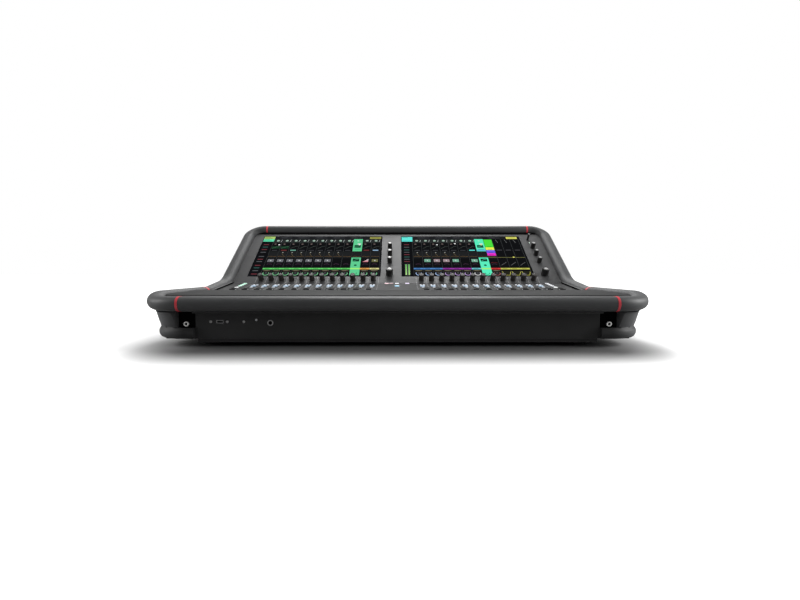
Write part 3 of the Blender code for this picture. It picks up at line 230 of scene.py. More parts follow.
# Shader building -----------------------------------------------------------------------------
class Graph:
    """Short-hand for placing and linking the nodes of one tree."""

    def __init__(self, tree: bpy.types.NodeTree) -> None:
        """Start with an empty tree.

        Args:
            tree: The node tree to fill.
        """
        self.tree = tree
        tree.nodes.clear()

    def add(self, kind: str, settings: dict | None = None, **inputs: object) -> bpy.types.Node:
        """Place a node.

        Args:
            kind: Its identifier.
            settings: Properties of the node itself.
            inputs: Values or sockets for its inputs, with _ for a space in the name.

        Returns:
            The node.
        """
        node = self.tree.nodes.new(kind)
        for name, value in (settings or {}).items():
            setattr(node, name, value)
        for name, value in inputs.items():
            self.feed(self.socket(node, name), value)
        return node

    @staticmethod
    def socket(node: bpy.types.Node, name: str) -> Socket:
        """An input by its name with _ for a space, or by its number after an n."""
        if name[0] == "n" and name[1:].isdigit():
            return node.inputs[int(name[1:])]
        return node.inputs[name.replace("_", " ")]

    def feed(self, socket: Socket, value: object) -> None:
        """Link a socket to an input, or set the input's value."""
        if isinstance(value, bpy.types.NodeSocket):
            self.tree.links.new(value, socket)
        else:
            socket.default_value = value

    def math(self, operation: str, *values: object) -> Socket:
        """Result of a Math node."""
        inputs = {f"n{i}": value for i, value in enumerate(values)}
        return self.add("ShaderNodeMath", {"operation": operation}, **inputs).outputs[0]

    def mix(self, share: object, low: object, high: object) -> Socket:
        """Colour between two colours."""
        node = self.add("ShaderNodeMix", {"data_type": "RGBA"})
        for number, value in ((0, share), (6, low), (7, high)):
            self.feed(node.inputs[number], value)
        return node.outputs[2]

    def span(self, value: object, low: float, high: float, to_low: float,
             to_high: float) -> Socket:
        """Value taken from one range to another and kept inside it."""
        return self.add("ShaderNodeMapRange", Value=value, From_Min=low, From_Max=high,
                        To_Min=to_low, To_Max=to_high).outputs["Result"]


Filling = Callable[[Graph, bpy.types.Node], dict[str, Socket]]


def shader_group(name: str, inputs: dict[str, float], outputs: Sequence[str],
                 build: Filling) -> bpy.types.NodeTree:
    """A shader node group with float inputs and outputs.

    Args:
        name: Name of the group.
        inputs: Default of each input.
        outputs: Names of the outputs.
        build: Places the nodes and returns the socket for each output.

    Returns:
        The group, built once.
    """
    found = bpy.data.node_groups.get(name)
    if found:
        return found
    tree = bpy.data.node_groups.new(name, "ShaderNodeTree")
    for label, value in inputs.items():
        made = tree.interface.new_socket(label, in_out="INPUT", socket_type="NodeSocketFloat")
        made.default_value = value
    for label in outputs:
        tree.interface.new_socket(label, in_out="OUTPUT", socket_type="NodeSocketFloat")
    graph = Graph(tree)
    sockets = build(graph, graph.add("NodeGroupInput"))
    end = graph.add("NodeGroupOutput")
    for label in outputs:
        tree.links.new(sockets[label], end.inputs[label])
    return tree


def moulded_grain() -> bpy.types.NodeTree:
    """Fine pebbled texture of moulded plastic and powder coat."""

    def build(graph: Graph, given: bpy.types.Node) -> dict[str, Socket]:
        """Mix pebbles and fine noise into one height."""
        place = graph.add("ShaderNodeTexCoord").outputs["Object"]
        pebbles = graph.add("ShaderNodeTexVoronoi", {"feature": "SMOOTH_F1"}, Vector=place,
                            Scale=given.outputs["Scale"], Smoothness=0.6).outputs["Distance"]
        finer = graph.math("MULTIPLY", given.outputs["Scale"], 2.3)
        noise = graph.add("ShaderNodeTexNoise", Vector=place, Scale=finer,
                          Detail=2.0).outputs["Fac"]
        height = graph.math("ADD", graph.math("MULTIPLY", pebbles, 0.7),
                            graph.math("MULTIPLY", noise, given.outputs["Fine"]))
        return {"Height": height, "Speckle": graph.span(noise, 0.35, 0.65, 0.0, 1.0)}

    return shader_group("moulded_grain", {"Scale": 900.0, "Fine": 0.5}, ("Height", "Speckle"),
                        build)


def handling_marks() -> bpy.types.NodeTree:
    """Broad uneven patches, and the soft streaks that hands and cloths leave."""

    def build(graph: Graph, given: bpy.types.Node) -> dict[str, Socket]:
        """Patches and streaks, each from 0 to 1."""
        place = graph.add("ShaderNodeTexCoord").outputs["Object"]
        broad = graph.add("ShaderNodeTexNoise", Vector=place, Scale=given.outputs["Scale"],
                          Detail=3.0).outputs["Fac"]
        drawn = graph.add("ShaderNodeMapping", Vector=place, Scale=(3.0, 14.0, 14.0),
                          Rotation=(0.0, 0.0, 0.5)).outputs["Vector"]
        streak = graph.add("ShaderNodeTexNoise", Vector=drawn, Scale=given.outputs["Scale"],
                           Detail=4.0, Roughness=0.7).outputs["Fac"]
        return {"Patches": graph.span(broad, 0.3, 0.7, 0.0, 1.0),
                "Streaks": graph.span(streak, 0.45, 0.75, 0.0, 1.0)}

    return shader_group("handling_marks", {"Scale": 9.0}, ("Patches", "Streaks"), build)


def worn_edges() -> bpy.types.NodeTree:
    """Mask of the convex edges that rub bright."""

    def build(graph: Graph, given: bpy.types.Node) -> dict[str, Socket]:
        """Compare the plain normal with one rounded over a small radius."""
        rounded = graph.add("ShaderNodeBevel", {"samples": 4}, Radius=given.outputs["Radius"])
        plain = graph.add("ShaderNodeNewGeometry").outputs["Normal"]
        dot = graph.add("ShaderNodeVectorMath", {"operation": "DOT_PRODUCT"}, n0=plain,
                        n1=rounded.outputs[0]).outputs["Value"]
        return {"Edges": graph.span(dot, 0.98, 0.80, 0.0, 1.0)}

    return shader_group("worn_edges", {"Radius": 0.0006}, ("Edges",), build)


def new_material(name: str) -> tuple[bpy.types.Material, Graph]:
    """An empty node material and its graph."""
    made = bpy.data.materials.new(name)
    made.use_nodes = True
    return made, Graph(made.node_tree)


def close_material(graph: Graph, bump: tuple[Socket, float, float] | None = None,
                   **inputs: object) -> None:
    """End a material with its shader.

    Args:
        graph: The material's graph.
        bump: Height of the fine relief, its strength and its depth in metres.
        inputs: Inputs of the Principled shader.
    """
    if bump:
        height, strength, depth = bump
        inputs["Normal"] = graph.add("ShaderNodeBump", Strength=strength, Distance=depth,
                                     Height=height).outputs["Normal"]
    shader = graph.add("ShaderNodeBsdfPrincipled", **inputs)
    end = graph.add("ShaderNodeOutputMaterial")
    graph.tree.links.new(shader.outputs[0], end.inputs["Surface"])


def place_group(graph: Graph, tree: bpy.types.NodeTree, **inputs: float) -> bpy.types.Node:
    """A group node with its own values."""
    node = graph.add("ShaderNodeGroup", {"node_tree": tree})
    for name, value in inputs.items():
        node.inputs[name].default_value = value
    return node


# Finishes ------------------------------------------------------------------------------------
@dataclass(frozen=True)
class Finish:
    """A painted or moulded surface with grain, uneven tone and handling marks, and painted shade
    where a shade range is given.
    """

    name: str
    colour: Colour
    roughness: float
    metallic: float = 0.0
    specular: float = 0.5
    grain: float = 900.0
    fine: float = 0.5
    depth: float = 0.00004
    strength: float = 0.35
    variation: float = 0.18
    smudge: float = 0.10
    wear: float = 0.0
    wear_colour: Colour = (0.35, 0.35, 0.36)
    sheen: float = 0.0
    shade: Point2 | None = None
    shade_least: float = 0.28
    shade_up: float = 0.28
    upright: float = 0.6
    grain_share: float = 0.35

    @cached_property
    def material(self) -> bpy.types.Material:
        """The material, made once."""
        made, graph = new_material(self.name)
        grain = place_group(graph, moulded_grain(), Scale=self.grain, Fine=self.fine)
        marks = place_group(graph, handling_marks())
        dark = (*(c * (1 - self.variation) for c in self.colour), 1.0)
        pale = (*(min(1.0, c * (1 + self.variation)) for c in self.colour), 1.0)
        patches = graph.math("MULTIPLY", marks.outputs["Patches"], 1 - self.grain_share)
        tone = graph.math("MULTIPLY_ADD", grain.outputs["Speckle"], self.grain_share, patches)
        colour = graph.mix(tone, dark, pale)
        if self.wear:
            edges = place_group(graph, worn_edges()).outputs["Edges"]
            share = graph.math("MULTIPLY", edges, self.wear)
            colour = graph.mix(share, colour, (*self.wear_colour, 1.0))
        # painted shade: the colour is darkened by the share that light() gives
        if self.shade:
            colour = graph.mix(self.light(graph), (0.0, 0.0, 0.0, 1.0), colour)
        rough = graph.math("MULTIPLY_ADD", marks.outputs["Streaks"], -self.smudge, self.roughness)
        close_material(graph, (grain.outputs["Height"], self.strength, self.depth),
                       Base_Color=colour, Roughness=rough, Metallic=self.metallic,
                       Specular_IOR_Level=self.specular, Sheen_Weight=self.sheen)
        return made

    def light(self, graph: Graph) -> Socket:
        """Painted shade under the rim: the colour kept is less near the middle and on faces that
        look up.
        """
        given = graph.add("ShaderNodeTexCoord").outputs
        across = graph.add("ShaderNodeSeparateXYZ", Vector=given["Object"]).outputs[0]
        facing = graph.add("ShaderNodeSeparateXYZ", Vector=given["Normal"]).outputs[2]
        near = graph.span(graph.math("ABSOLUTE", across), *self.shade, self.shade_least, 1.0)
        return graph.math("MULTIPLY", near,
                          graph.span(facing, 0.0, self.upright, 1.0, self.shade_up))


@dataclass(frozen=True)
class SpangledZinc:
    """Zinc-coated steel sheet with its crystal pattern."""

    name: str = "spangled_zinc"

    @cached_property
    def material(self) -> bpy.types.Material:
        """The material, made once."""
        made, graph = new_material(self.name)
        place = graph.add("ShaderNodeTexCoord").outputs["Object"]
        cells = graph.add("ShaderNodeTexVoronoi", Vector=place, Scale=90.0)
        tone = graph.add("ShaderNodeSeparateColor", Color=cells.outputs["Color"]).outputs[0]
        marks = place_group(graph, handling_marks(), Scale=14.0)
        colour = graph.mix(tone, (0.34, 0.35, 0.36, 1.0), (0.56, 0.57, 0.58, 1.0))
        rough = graph.math("MULTIPLY_ADD", marks.outputs["Patches"], 0.12,
                           graph.math("MULTIPLY_ADD", tone, 0.15, 0.30))
        close_material(graph, (tone, 0.2, 0.0001), Base_Color=colour, Roughness=rough,
                       Metallic=1.0)
        return made


@dataclass(frozen=True)
class Lit:
    """A surface that shines in the colours of its own glow attribute."""

    name: str
    colour: Colour
    roughness: float
    strength: float
    specular: float = 0.5
    grain: float = 1600.0

    @cached_property
    def material(self) -> bpy.types.Material:
        """The material, made once."""
        made, graph = new_material(self.name)
        glow = graph.add("ShaderNodeAttribute", {"attribute_name": "glow"}).outputs["Color"]
        grain = place_group(graph, moulded_grain(), Scale=self.grain, Fine=0.3)
        marks = place_group(graph, handling_marks(), Scale=20.0)
        rough = graph.math("MULTIPLY_ADD", marks.outputs["Streaks"], 0.06, self.roughness)
        close_material(graph, (grain.outputs["Height"], 0.08, 0.00002),
                       Base_Color=(*self.colour, 1.0), Roughness=rough,
                       Specular_IOR_Level=self.specular, Emission_Color=glow,
                       Emission_Strength=self.strength)
        return made


@dataclass(frozen=True)
class CircuitBoard:
    """Green solder mask over fine copper tracks."""

    name: str = "circuit_board"

    @cached_property
    def material(self) -> bpy.types.Material:
        """The material, made once."""
        made, graph = new_material(self.name)
        place = graph.add("ShaderNodeTexCoord").outputs["Object"]
        tracks = graph.add("ShaderNodeTexBrick", Vector=place, Scale=60.0, Mortar_Size=0.04,
                           Color1=(0.0, 0.0, 0.0, 1.0), Color2=(0.1, 0.1, 0.1, 1.0),
                           Mortar=(1.0, 1.0, 1.0, 1.0)).outputs["Color"]
        colour = graph.mix(tracks, (0.012, 0.080, 0.040, 1.0), (0.035, 0.200, 0.095, 1.0))
        close_material(graph, (tracks, 0.3, 0.00004), Base_Color=colour, Roughness=0.35)
        return made


RIM_SKIN = Finish("rim_skin", (0.040, 0.041, 0.042), 0.50, specular=0.16, grain=1100.0,
                  variation=0.10, smudge=0.08, sheen=0.05)
PALM_SKIN = Finish("palm_skin", (0.024, 0.0243, 0.0246), 0.62, specular=0.05, grain=1000.0,
                   variation=0.12)
# the cheeks carry painted shade: darker towards the recess and on faces that look up
CHEEK_SKIN = Finish("cheek_skin", (0.072, 0.073, 0.075), 0.55, specular=0.12, grain=1000.0,
                    variation=0.12, shade=(0.370, 0.415))
FADER_PAINT = Finish("fader_paint", (0.023, 0.0232, 0.0235), 0.50, specular=0.11, grain=1500.0,
                     depth=0.00002, variation=0.08, wear=0.4)
# the fascia's grey is paler than the fader plate's, as painted light for the light that the sloping
# fascia catches
FASCIA_LIT_PAINT = Finish("fascia_paint", (0.043, 0.0433, 0.0440), 0.48, specular=0.17, grain=1500.0,
                      depth=0.00002, variation=0.06, wear=0.4)
BLACK_PAINT = Finish("black_paint", (0.026, 0.026, 0.0265), 0.55, specular=0.12, grain=1300.0,
                     variation=0.15, wear=0.25)
# painted shade: a flat black that stands for the shade in recesses, grooves and holes
SHADE_BLACK = Finish("painted_shade_black", (0.0025, 0.0025, 0.0025), 0.9, specular=0.0, grain=1300.0,
                    variation=0.15)
BLACK_PLASTIC = Finish("black_plastic", (0.008, 0.008, 0.008), 0.42, specular=0.35, grain=1800.0,
                       depth=0.00002, variation=0.12, wear=0.15)
KNOB_BLACK = Finish("knob_black", (0.030, 0.0275, 0.0262), 0.50, specular=0.18, grain=1800.0,
                    depth=0.00002, variation=0.12, wear=0.10)
BEZEL = Finish("screen_glass", (0.003, 0.003, 0.0035), 0.30, specular=0.02, grain=2500.0,
               strength=0.02, depth=0.00001, variation=0.2)
RUBBER = Finish("foot_rubber", (0.012, 0.012, 0.012), 0.85, specular=0.3, grain=500.0,
                variation=0.3, sheen=0.1)
GREY_CASE = Finish("grey_case", (0.22, 0.23, 0.24), 0.45, grain=1500.0, variation=0.1)
RED_BAND = Finish("red_band", (0.46, 0.022, 0.035), 0.40, grain=1400.0, strength=0.15,
                  variation=0.12)
BOLT_STEEL = Finish("bolt_steel", (0.78, 0.78, 0.76), 0.32, metallic=1.0, grain=2400.0,
                    strength=0.10, depth=0.00001, variation=0.12)
DARK_STEEL = Finish("dark_steel", (0.30, 0.30, 0.30), 0.42, metallic=1.0, grain=2400.0,
                    strength=0.15, depth=0.00001, variation=0.15)
CONTACT_GOLD = Finish("contact_gold", (0.78, 0.52, 0.20), 0.25, metallic=1.0, strength=0.05)
PRINT_WHITE = Finish("print_white", (0.62, 0.62, 0.60), 0.55, grain=2200.0, strength=0.05,
                     depth=0.00001)
PRINT_GREY = Finish("print_grey", (0.24, 0.24, 0.24), 0.55, grain=2200.0, strength=0.05,
                    depth=0.00001)
KNOB_WHITE = Finish("knob_white", (0.36, 0.36, 0.35), 0.35, grain=1800.0, strength=0.1,
                    depth=0.00001)
ZINC = SpangledZinc()
CIRCUIT = CircuitBoard()
LIT_KEY = Lit("lit_key", (0.40, 0.41, 0.43), 0.38, 1.0)
LIT_SCREEN = Lit("lit_screen", (0.0006, 0.0006, 0.0007), 0.40, 1.0, specular=0.0, grain=2500.0)
Look = Finish | SpangledZinc | Lit | CircuitBoard


# Meshes --------------------------------------------------------------------------------------
def soften(mesh: bpy.types.Mesh, angle: float = 40.0) -> bpy.types.Mesh:
    """Smooth shading with sharp edges past an angle in degrees."""
    mesh.shade_smooth()
    mesh.set_sharp_from_angle(angle=radians(angle))
    return mesh


def to_mesh(shape: bmesh.types.BMesh, name: str, angle: float = 40.0) -> bpy.types.Mesh:
    """A bmesh, which is freed, as a mesh with edges past an angle in degrees kept sharp."""
    mesh = bpy.data.meshes.new(name)
    shape.to_mesh(mesh)
    shape.free()
    return soften(mesh, angle)


def linked(name: str, data: object) -> bpy.types.Object:
    """A new object in the scene."""
    made = bpy.data.objects.new(name, data)
    bpy.context.scene.collection.objects.link(made)
    return made


def evaluated(holder: bpy.types.Object) -> bpy.types.Mesh:
    """What an object comes to with its modifiers, as a mesh of its own."""
    graph = bpy.context.evaluated_depsgraph_get()
    graph.update()
    return bpy.data.meshes.new_from_object(holder.evaluated_get(graph), depsgraph=graph)


def loft(rings: Sequence[Sequence[Sequence[float]]]) -> bmesh.types.BMesh:
    """Skin over closed rings of equal length, with a face at either end.

    Args:
        rings: The rings, from one end to the other.

    Returns:
        The shape, its faces outwards.
    """
    shape = bmesh.new()
    rows = [[shape.verts.new(point) for point in ring] for ring in rings]
    for low, high in zip(rows, rows[1:]):
        for i in range(len(low)):
            j = (i + 1) % len(low)
            shape.faces.new((low[i], low[j], high[j], high[i]))
    shape.faces.new(list(reversed(rows[0])))
    shape.faces.new(rows[-1])
    bmesh.ops.recalc_face_normals(shape, faces=shape.faces)
    return shape


def turned(profile: Sequence[Point2], sides: int = 32, flutes: int = 0,
           bite: float = 0.0, fluted: tuple[int, int] = (0, 0)) -> bmesh.types.BMesh:
    """A shape turned about local Z, with flutes cut into some of its rings.

    Args:
        profile: Radius and height of each ring, from the bottom up.
        sides: Points round each ring.
        flutes: Number of flutes.
        bite: Depth of the flutes.
        fluted: First ring with flutes, and the one after the last.

    Returns:
        The closed shape.
    """
    rings = []
    for number, (radius, height) in enumerate(profile):
        cut = bite if fluted[0] <= number < fluted[1] else 0.0
        ring = []
        for i in range(sides):
            turn = 2 * pi * i / sides
            reach = radius - cut * (0.5 - 0.5 * cos(flutes * turn)) ** 2
            ring.append((reach * cos(turn), reach * sin(turn), height))
        rings.append(ring)
    return loft(rings)


def rounded_box(low: Sequence[float], high: Sequence[float], radius: float = 0.0,
                steps: int = 2) -> bmesh.types.BMesh:
    """A box between two corners, with rounded edges if a radius is given."""
    low, high = Vector(low), Vector(high)
    shape = bmesh.new()
    place = Matrix.Translation((low + high) / 2) @ Matrix.Diagonal((*(high - low), 1.0))
    bmesh.ops.create_cube(shape, size=1.0, matrix=place)
    if radius:
        bmesh.ops.bevel(shape, geom=shape.edges[:], offset=radius, segments=steps, profile=0.5,
                        affect="EDGES", clamp_overlap=True)
    return shape


def joined(*shapes: bmesh.types.BMesh) -> bmesh.types.BMesh:
    """The first shape with the others added to it."""
    for other in shapes[1:]:
        spare = bpy.data.meshes.new("spare")
        other.to_mesh(spare)
        other.free()
        shapes[0].from_mesh(spare)
        bpy.data.meshes.remove(spare)
    return shapes[0]


def moved(shape: bmesh.types.BMesh, place: Matrix) -> bmesh.types.BMesh:
    """The same shape somewhere else."""
    bmesh.ops.transform(shape, matrix=place, verts=shape.verts)
    return shape


def mirrored(shape: bmesh.types.BMesh, side: int) -> bmesh.types.BMesh:
    """A shape for the right side, 1, or turned into its mirror image for the left, -1."""
    moved(shape, Matrix.Diagonal((side, 1.0, 1.0, 1.0)))
    bmesh.ops.recalc_face_normals(shape, faces=shape.faces)
    return shape


def arc(centre: Point2, radius: float, start: float, end: float, steps: int) -> list[Point2]:
    """Points of a plane arc, both ends included."""
    turns = [start + (end - start) * i / steps for i in range(steps + 1)]
    return [(centre[0] + radius * cos(t), centre[1] + radius * sin(t)) for t in turns]


def at(x: float, y: float, z: float = 0.0) -> Matrix:
    """A shift."""
    return Matrix.Translation((x, y, z))


def publish(name: str, shape: bmesh.types.BMesh | bpy.types.Mesh, finish: Look,
            body: str = ROOT, replaces: Iterable[str] = (), angle: float = 40.0) -> None:
    """Add a finished piece to the console.

    Args:
        name: Its name.
        shape: Its mesh, or a bmesh to make it from, with its place in it.
        finish: What it is made of.
        body: The CAD body it moves with.
        replaces: CAD nodes that it stands for.
        angle: Edges of a bmesh sharper than this many degrees stay sharp.
    """
    mesh = shape if isinstance(shape, bpy.types.Mesh) else to_mesh(shape, name, angle)
    mesh.materials.clear()
    mesh.materials.append(finish.material)
    piece = linked(name, mesh)
    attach(piece, body)
    nodes = list(replaces)
    if nodes:
        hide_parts(*nodes)
    LOG.info("%s: %d faces on %s", name, len(mesh.polygons), body)


def dress(nodes: dict[str, bpy.types.Object], finishes: dict[str, Look]) -> None:
    """Give CAD nodes better materials.

    Args:
        nodes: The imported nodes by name.
        finishes: The finish of each node to dress.
    """
    for name, finish in finishes.items():
        nodes[name].data.materials.clear()
        nodes[name].data.materials.append(finish.material)


# Geometry Nodes ------------------------------------------------------------------------------
class GeometryTree:
    """A Geometry Nodes tree and the means to run it."""

    def __init__(self, name: str, inputs: dict[str, str]) -> None:
        """Make the tree with its named inputs.

        Args:
            name: Name of the tree.
            inputs: Socket type of each input after the geometry.
        """
        self.tree = bpy.data.node_groups.new(name, "GeometryNodeTree")
        self.keys: dict[str, str] = {}
        for label, kind in {"Geometry": "NodeSocketGeometry", **inputs}.items():
            made = self.tree.interface.new_socket(label, in_out="INPUT", socket_type=kind)
            self.keys[label] = made.identifier
        self.tree.interface.new_socket("Geometry", in_out="OUTPUT",
                                       socket_type="NodeSocketGeometry")
        self.graph = Graph(self.tree)
        self.given = self.graph.add("NodeGroupInput").outputs

    def close(self, geometry: Socket) -> None:
        """End the tree: real geometry with the given material."""
        real = self.graph.add("GeometryNodeRealizeInstances", Geometry=geometry)
        dressed = self.graph.add("GeometryNodeSetMaterial", Geometry=real.outputs[0],
                                 Material=self.given["Material"])
        end = self.graph.add("NodeGroupOutput")
        self.tree.links.new(dressed.outputs[0], end.inputs[0])

    def run(self, name: str, start: bpy.types.Mesh, **inputs: object) -> bpy.types.Mesh:
        """Run the tree on a mesh.

        Args:
            name: Name of the result.
            start: The mesh it starts from.
            inputs: Value of each input.

        Returns:
            The plain mesh that comes out.
        """
        host = linked(name, start)
        step = host.modifiers.new(self.tree.name, "NODES")
        step.node_group = self.tree
        for label, value in inputs.items():
            step[self.keys[label]] = value
        made = evaluated(host)
        bpy.data.objects.remove(host, do_unlink=True)
        made.name = name
        return made


class RimSweep(GeometryTree):
    """Sweeps the rim's section, a superellipse, along a path."""

    squareness = 2.3
    sides = 64

    def __init__(self) -> None:
        """Build the tree."""
        super().__init__("rim_sweep", {
            "Width": "NodeSocketFloat", "Height": "NodeSocketFloat", "Power": "NodeSocketFloat",
            "Sides": "NodeSocketInt", "Material": "NodeSocketMaterial"})
        graph, given = self.graph, self.given
        path = graph.add("GeometryNodeMeshToCurve", Mesh=given["Geometry"])
        upright = graph.add("GeometryNodeSetCurveNormal", {"mode": "Z_UP"}, Curve=path.outputs[0])
        circle = graph.add("GeometryNodeCurvePrimitiveCircle", Resolution=given["Sides"],
                           Radius=1.0)
        place = graph.add("ShaderNodeSeparateXYZ",
                          Vector=graph.add("GeometryNodeInputPosition").outputs[0])
        across, up = (self._stretched(place.outputs[i], given[side])
                      for i, side in ((0, "Width"), (1, "Height")))
        spot = graph.add("ShaderNodeCombineXYZ", X=across, Y=up).outputs[0]
        section = graph.add("GeometryNodeSetPosition", Geometry=circle.outputs[0],
                            Position=spot)
        skin = graph.add("GeometryNodeCurveToMesh", Curve=upright.outputs[0],
                         Profile_Curve=section.outputs[0], Fill_Caps=True)
        self.close(skin.outputs[0])

    def _stretched(self, share: Socket, size: Socket) -> Socket:
        """One coordinate of the circle, squared up and scaled to its size."""
        graph = self.graph
        squared = graph.math("POWER", graph.math("ABSOLUTE", share), self.given["Power"])
        signed = graph.math("MULTIPLY", squared, graph.math("SIGN", share))
        return graph.math("MULTIPLY", signed, graph.math("MULTIPLY", size, 0.5))

    def sweep(self, name: str, path: Sequence[Point3], finish: Finish,
              inset: float) -> bpy.types.Mesh:
        """The rim along a path.

        Args:
            name: Name of the mesh.
            path: Points of the centre line.
            finish: What it is made of.
            inset: How far its skin lies inside the full section.

        Returns:
            The swept mesh.
        """
        line = bpy.data.meshes.new(name + "_path")
        line.from_pydata(list(path), [(i, i + 1) for i in range(len(path) - 1)], [])
        mesh = self.run(name, line, Width=LAYOUT.rim_width - 2 * inset,
                        Height=LAYOUT.rim_height - 2 * inset, Power=2 / self.squareness,
                        Sides=self.sides, Material=finish.material)
        return soften(mesh, 50.0)


class Repeater(GeometryTree):
    """Sets one unit at every point of a mesh, turned by the point's own turn."""

    def __init__(self) -> None:
        """Build the tree."""
        super().__init__("repeated_unit", {"Unit": "NodeSocketObject",
                                           "Material": "NodeSocketMaterial"})
        graph, given = self.graph, self.given
        unit = graph.add("GeometryNodeObjectInfo", Object=given["Unit"])
        turn = graph.add("GeometryNodeInputNamedAttribute", {"data_type": "FLOAT_VECTOR"},
                         Name="turn").outputs[0]
        rotation = graph.add("FunctionNodeEulerToRotation", Euler=turn).outputs[0]
        copies = graph.add("GeometryNodeInstanceOnPoints", Points=given["Geometry"],
                           Instance=unit.outputs["Geometry"], Rotation=rotation)
        self.close(copies.outputs[0])

    def spread(self, name: str, unit: bmesh.types.BMesh, places: Sequence[Matrix], finish: Look,
               slot: Slot, body: str = ROOT, replaces: Iterable[str] = (),
               glow: Sequence[Colour] = ()) -> None:
        """Publish copies of a unit as one piece.

        Args:
            name: Name of the piece.
            unit: The shape to copy, which is freed.
            places: Where each copy goes.
            finish: What it is made of.
            slot: The record's material slot it would belong to; not used.
            body: The CAD body it moves with.
            replaces: CAD nodes that it stands for.
            glow: Colour that each copy shines in.
        """
        holder = linked(name + "_unit", to_mesh(unit, name + "_unit"))
        spots = bpy.data.meshes.new(name + "_places")
        spots.from_pydata([tuple(place.translation) for place in places], [], [])
        turns = spots.attributes.new("turn", "FLOAT_VECTOR", "POINT")
        for item, place in zip(turns.data, places):
            item.vector = place.to_euler()
        if glow:
            colours = spots.attributes.new("glow", "FLOAT_COLOR", "POINT")
            for item, colour in zip(colours.data, glow):
                item.color = (*colour, 1.0)
        made = self.run(name, spots, Unit=holder, Material=finish.material)
        bpy.data.objects.remove(holder, do_unlink=True)
        if "turn" in made.attributes:
            made.attributes.remove(made.attributes["turn"])
        publish(name, made, finish, body, replaces)


# Rim, palm rest and cheeks -------------------------------------------------------------------
@dataclass(frozen=True)
class Rim:
    """Soft rim: front bumper, side rails and hood rail, with its red bands."""

    inset: float = 0.00025
    band_width: float = 0.0042
    side_band_width: float = 0.008
    band_y: float = -0.056
    band_shift: float = 0.0022
    hood_shift: float = 0.004
    half_steps: int = 8
    steps: int = 24

    def bend(self, place: Point2, radius: float, low: float, high: float) -> list[Point2]:
        """Arc in Y and Z that turns a rising line into a steeper one near a place."""
        reach = radius * tan((high - low) / 2)
        centre = (place[0] - reach * cos(low) - radius * sin(low),
                  place[1] - reach * sin(low) + radius * cos(low))
        return arc(centre, radius, low - pi / 2, high - pi / 2, self.steps)

    def rail(self) -> list[Point3]:
        """Centre line of the right rail, from the bumper's seam to the hood's."""
        corner_x, front_y = LAYOUT.rim_x - LAYOUT.corner_radius, LAYOUT.rim_front_y
        corner = arc((corner_x, front_y + LAYOUT.corner_radius), LAYOUT.corner_radius,
                     -pi / 2, 0.0, self.steps)
        line = [(corner_x - LAYOUT.seam, front_y, LAYOUT.rim_z(front_y))]
        line += [(x, y, LAYOUT.rim_z(y)) for x, y in corner]
        side = [(y, LAYOUT.rim_z(y)) for y in LAYOUT.side_rows]
        knee, fold = LAYOUT.bends
        side += self.bend(knee, LAYOUT.knee_radius, 0.0, LAYOUT.rail_tilt)
        side += self.bend(fold, LAYOUT.bend_radius, LAYOUT.rail_tilt, LAYOUT.screen_tilt)
        line += [(LAYOUT.rim_x, y, z) for y, z in side]
        hood_x, tilt = LAYOUT.rim_x - LAYOUT.hood_radius, LAYOUT.screen_tilt
        turn = arc((hood_x, -LAYOUT.hood_radius), LAYOUT.hood_radius, 0.0, pi / 2, self.steps)
        hood_z = LAYOUT.hood_z + LAYOUT.hood_lift
        line += [(x, LAYOUT.hood_y + row * cos(tilt), hood_z + row * sin(tilt)) for x, row in turn]
        return line + [(hood_x - LAYOUT.seam, LAYOUT.hood_y, hood_z)]

    def bands(self) -> list[list[Point3]]:
        """Short paths of the red bands."""
        half = self.band_width / 2
        front_x = LAYOUT.front_seam_x + self.band_shift
        hood_x = LAYOUT.hood_seam_x - self.hood_shift
        paths = []
        for side in (-1, 1):
            for x, y, z in ((front_x, LAYOUT.rim_front_y, LAYOUT.rim_z(LAYOUT.rim_front_y)),
                            (hood_x, LAYOUT.hood_y, LAYOUT.hood_z + LAYOUT.hood_lift)):
                paths.append([(side * x - half, y, z), (side * x + half, y, z)])
            reach = self.side_band_width / 2
            paths.append([(side * LAYOUT.rim_x, y, LAYOUT.rim_z(y))
                          for y in (self.band_y - reach, self.band_y + reach)])
        return paths

    def build(self, sweep: RimSweep) -> None:
        """Make the rim and its bands.

        Args:
            sweep: The tree that sweeps the section.
        """
        rail = self.rail()
        shares = [i / self.half_steps for i in range(-self.half_steps, self.half_steps + 1)]
        low, high = LAYOUT.rim_z(LAYOUT.rim_front_y), LAYOUT.hood_z + LAYOUT.hood_lift
        paths = {
            "front_bumper": [(share * LAYOUT.front_seam_x, LAYOUT.rim_front_y, low)
                             for share in shares],
            "hood_rail": [(share * LAYOUT.hood_seam_x, LAYOUT.hood_y, high) for share in shares],
            "right_rail": rail,
            "left_rail": [(-x, y, z) for x, y, z in rail],
        }
        for name, path in paths.items():
            mesh = sweep.sweep(name + "_skin", path, RIM_SKIN, self.inset)
            publish(name + "_skin", mesh, RIM_SKIN, replaces=[name])
        rings = bmesh.new()
        for number, path in enumerate(self.bands()):
            ring = sweep.sweep(f"band_{number}", path, RED_BAND, 0.0)
            rings.from_mesh(ring)
            bpy.data.meshes.remove(ring)
        publish("rim_bands", rings, RED_BAND, angle=50.0)


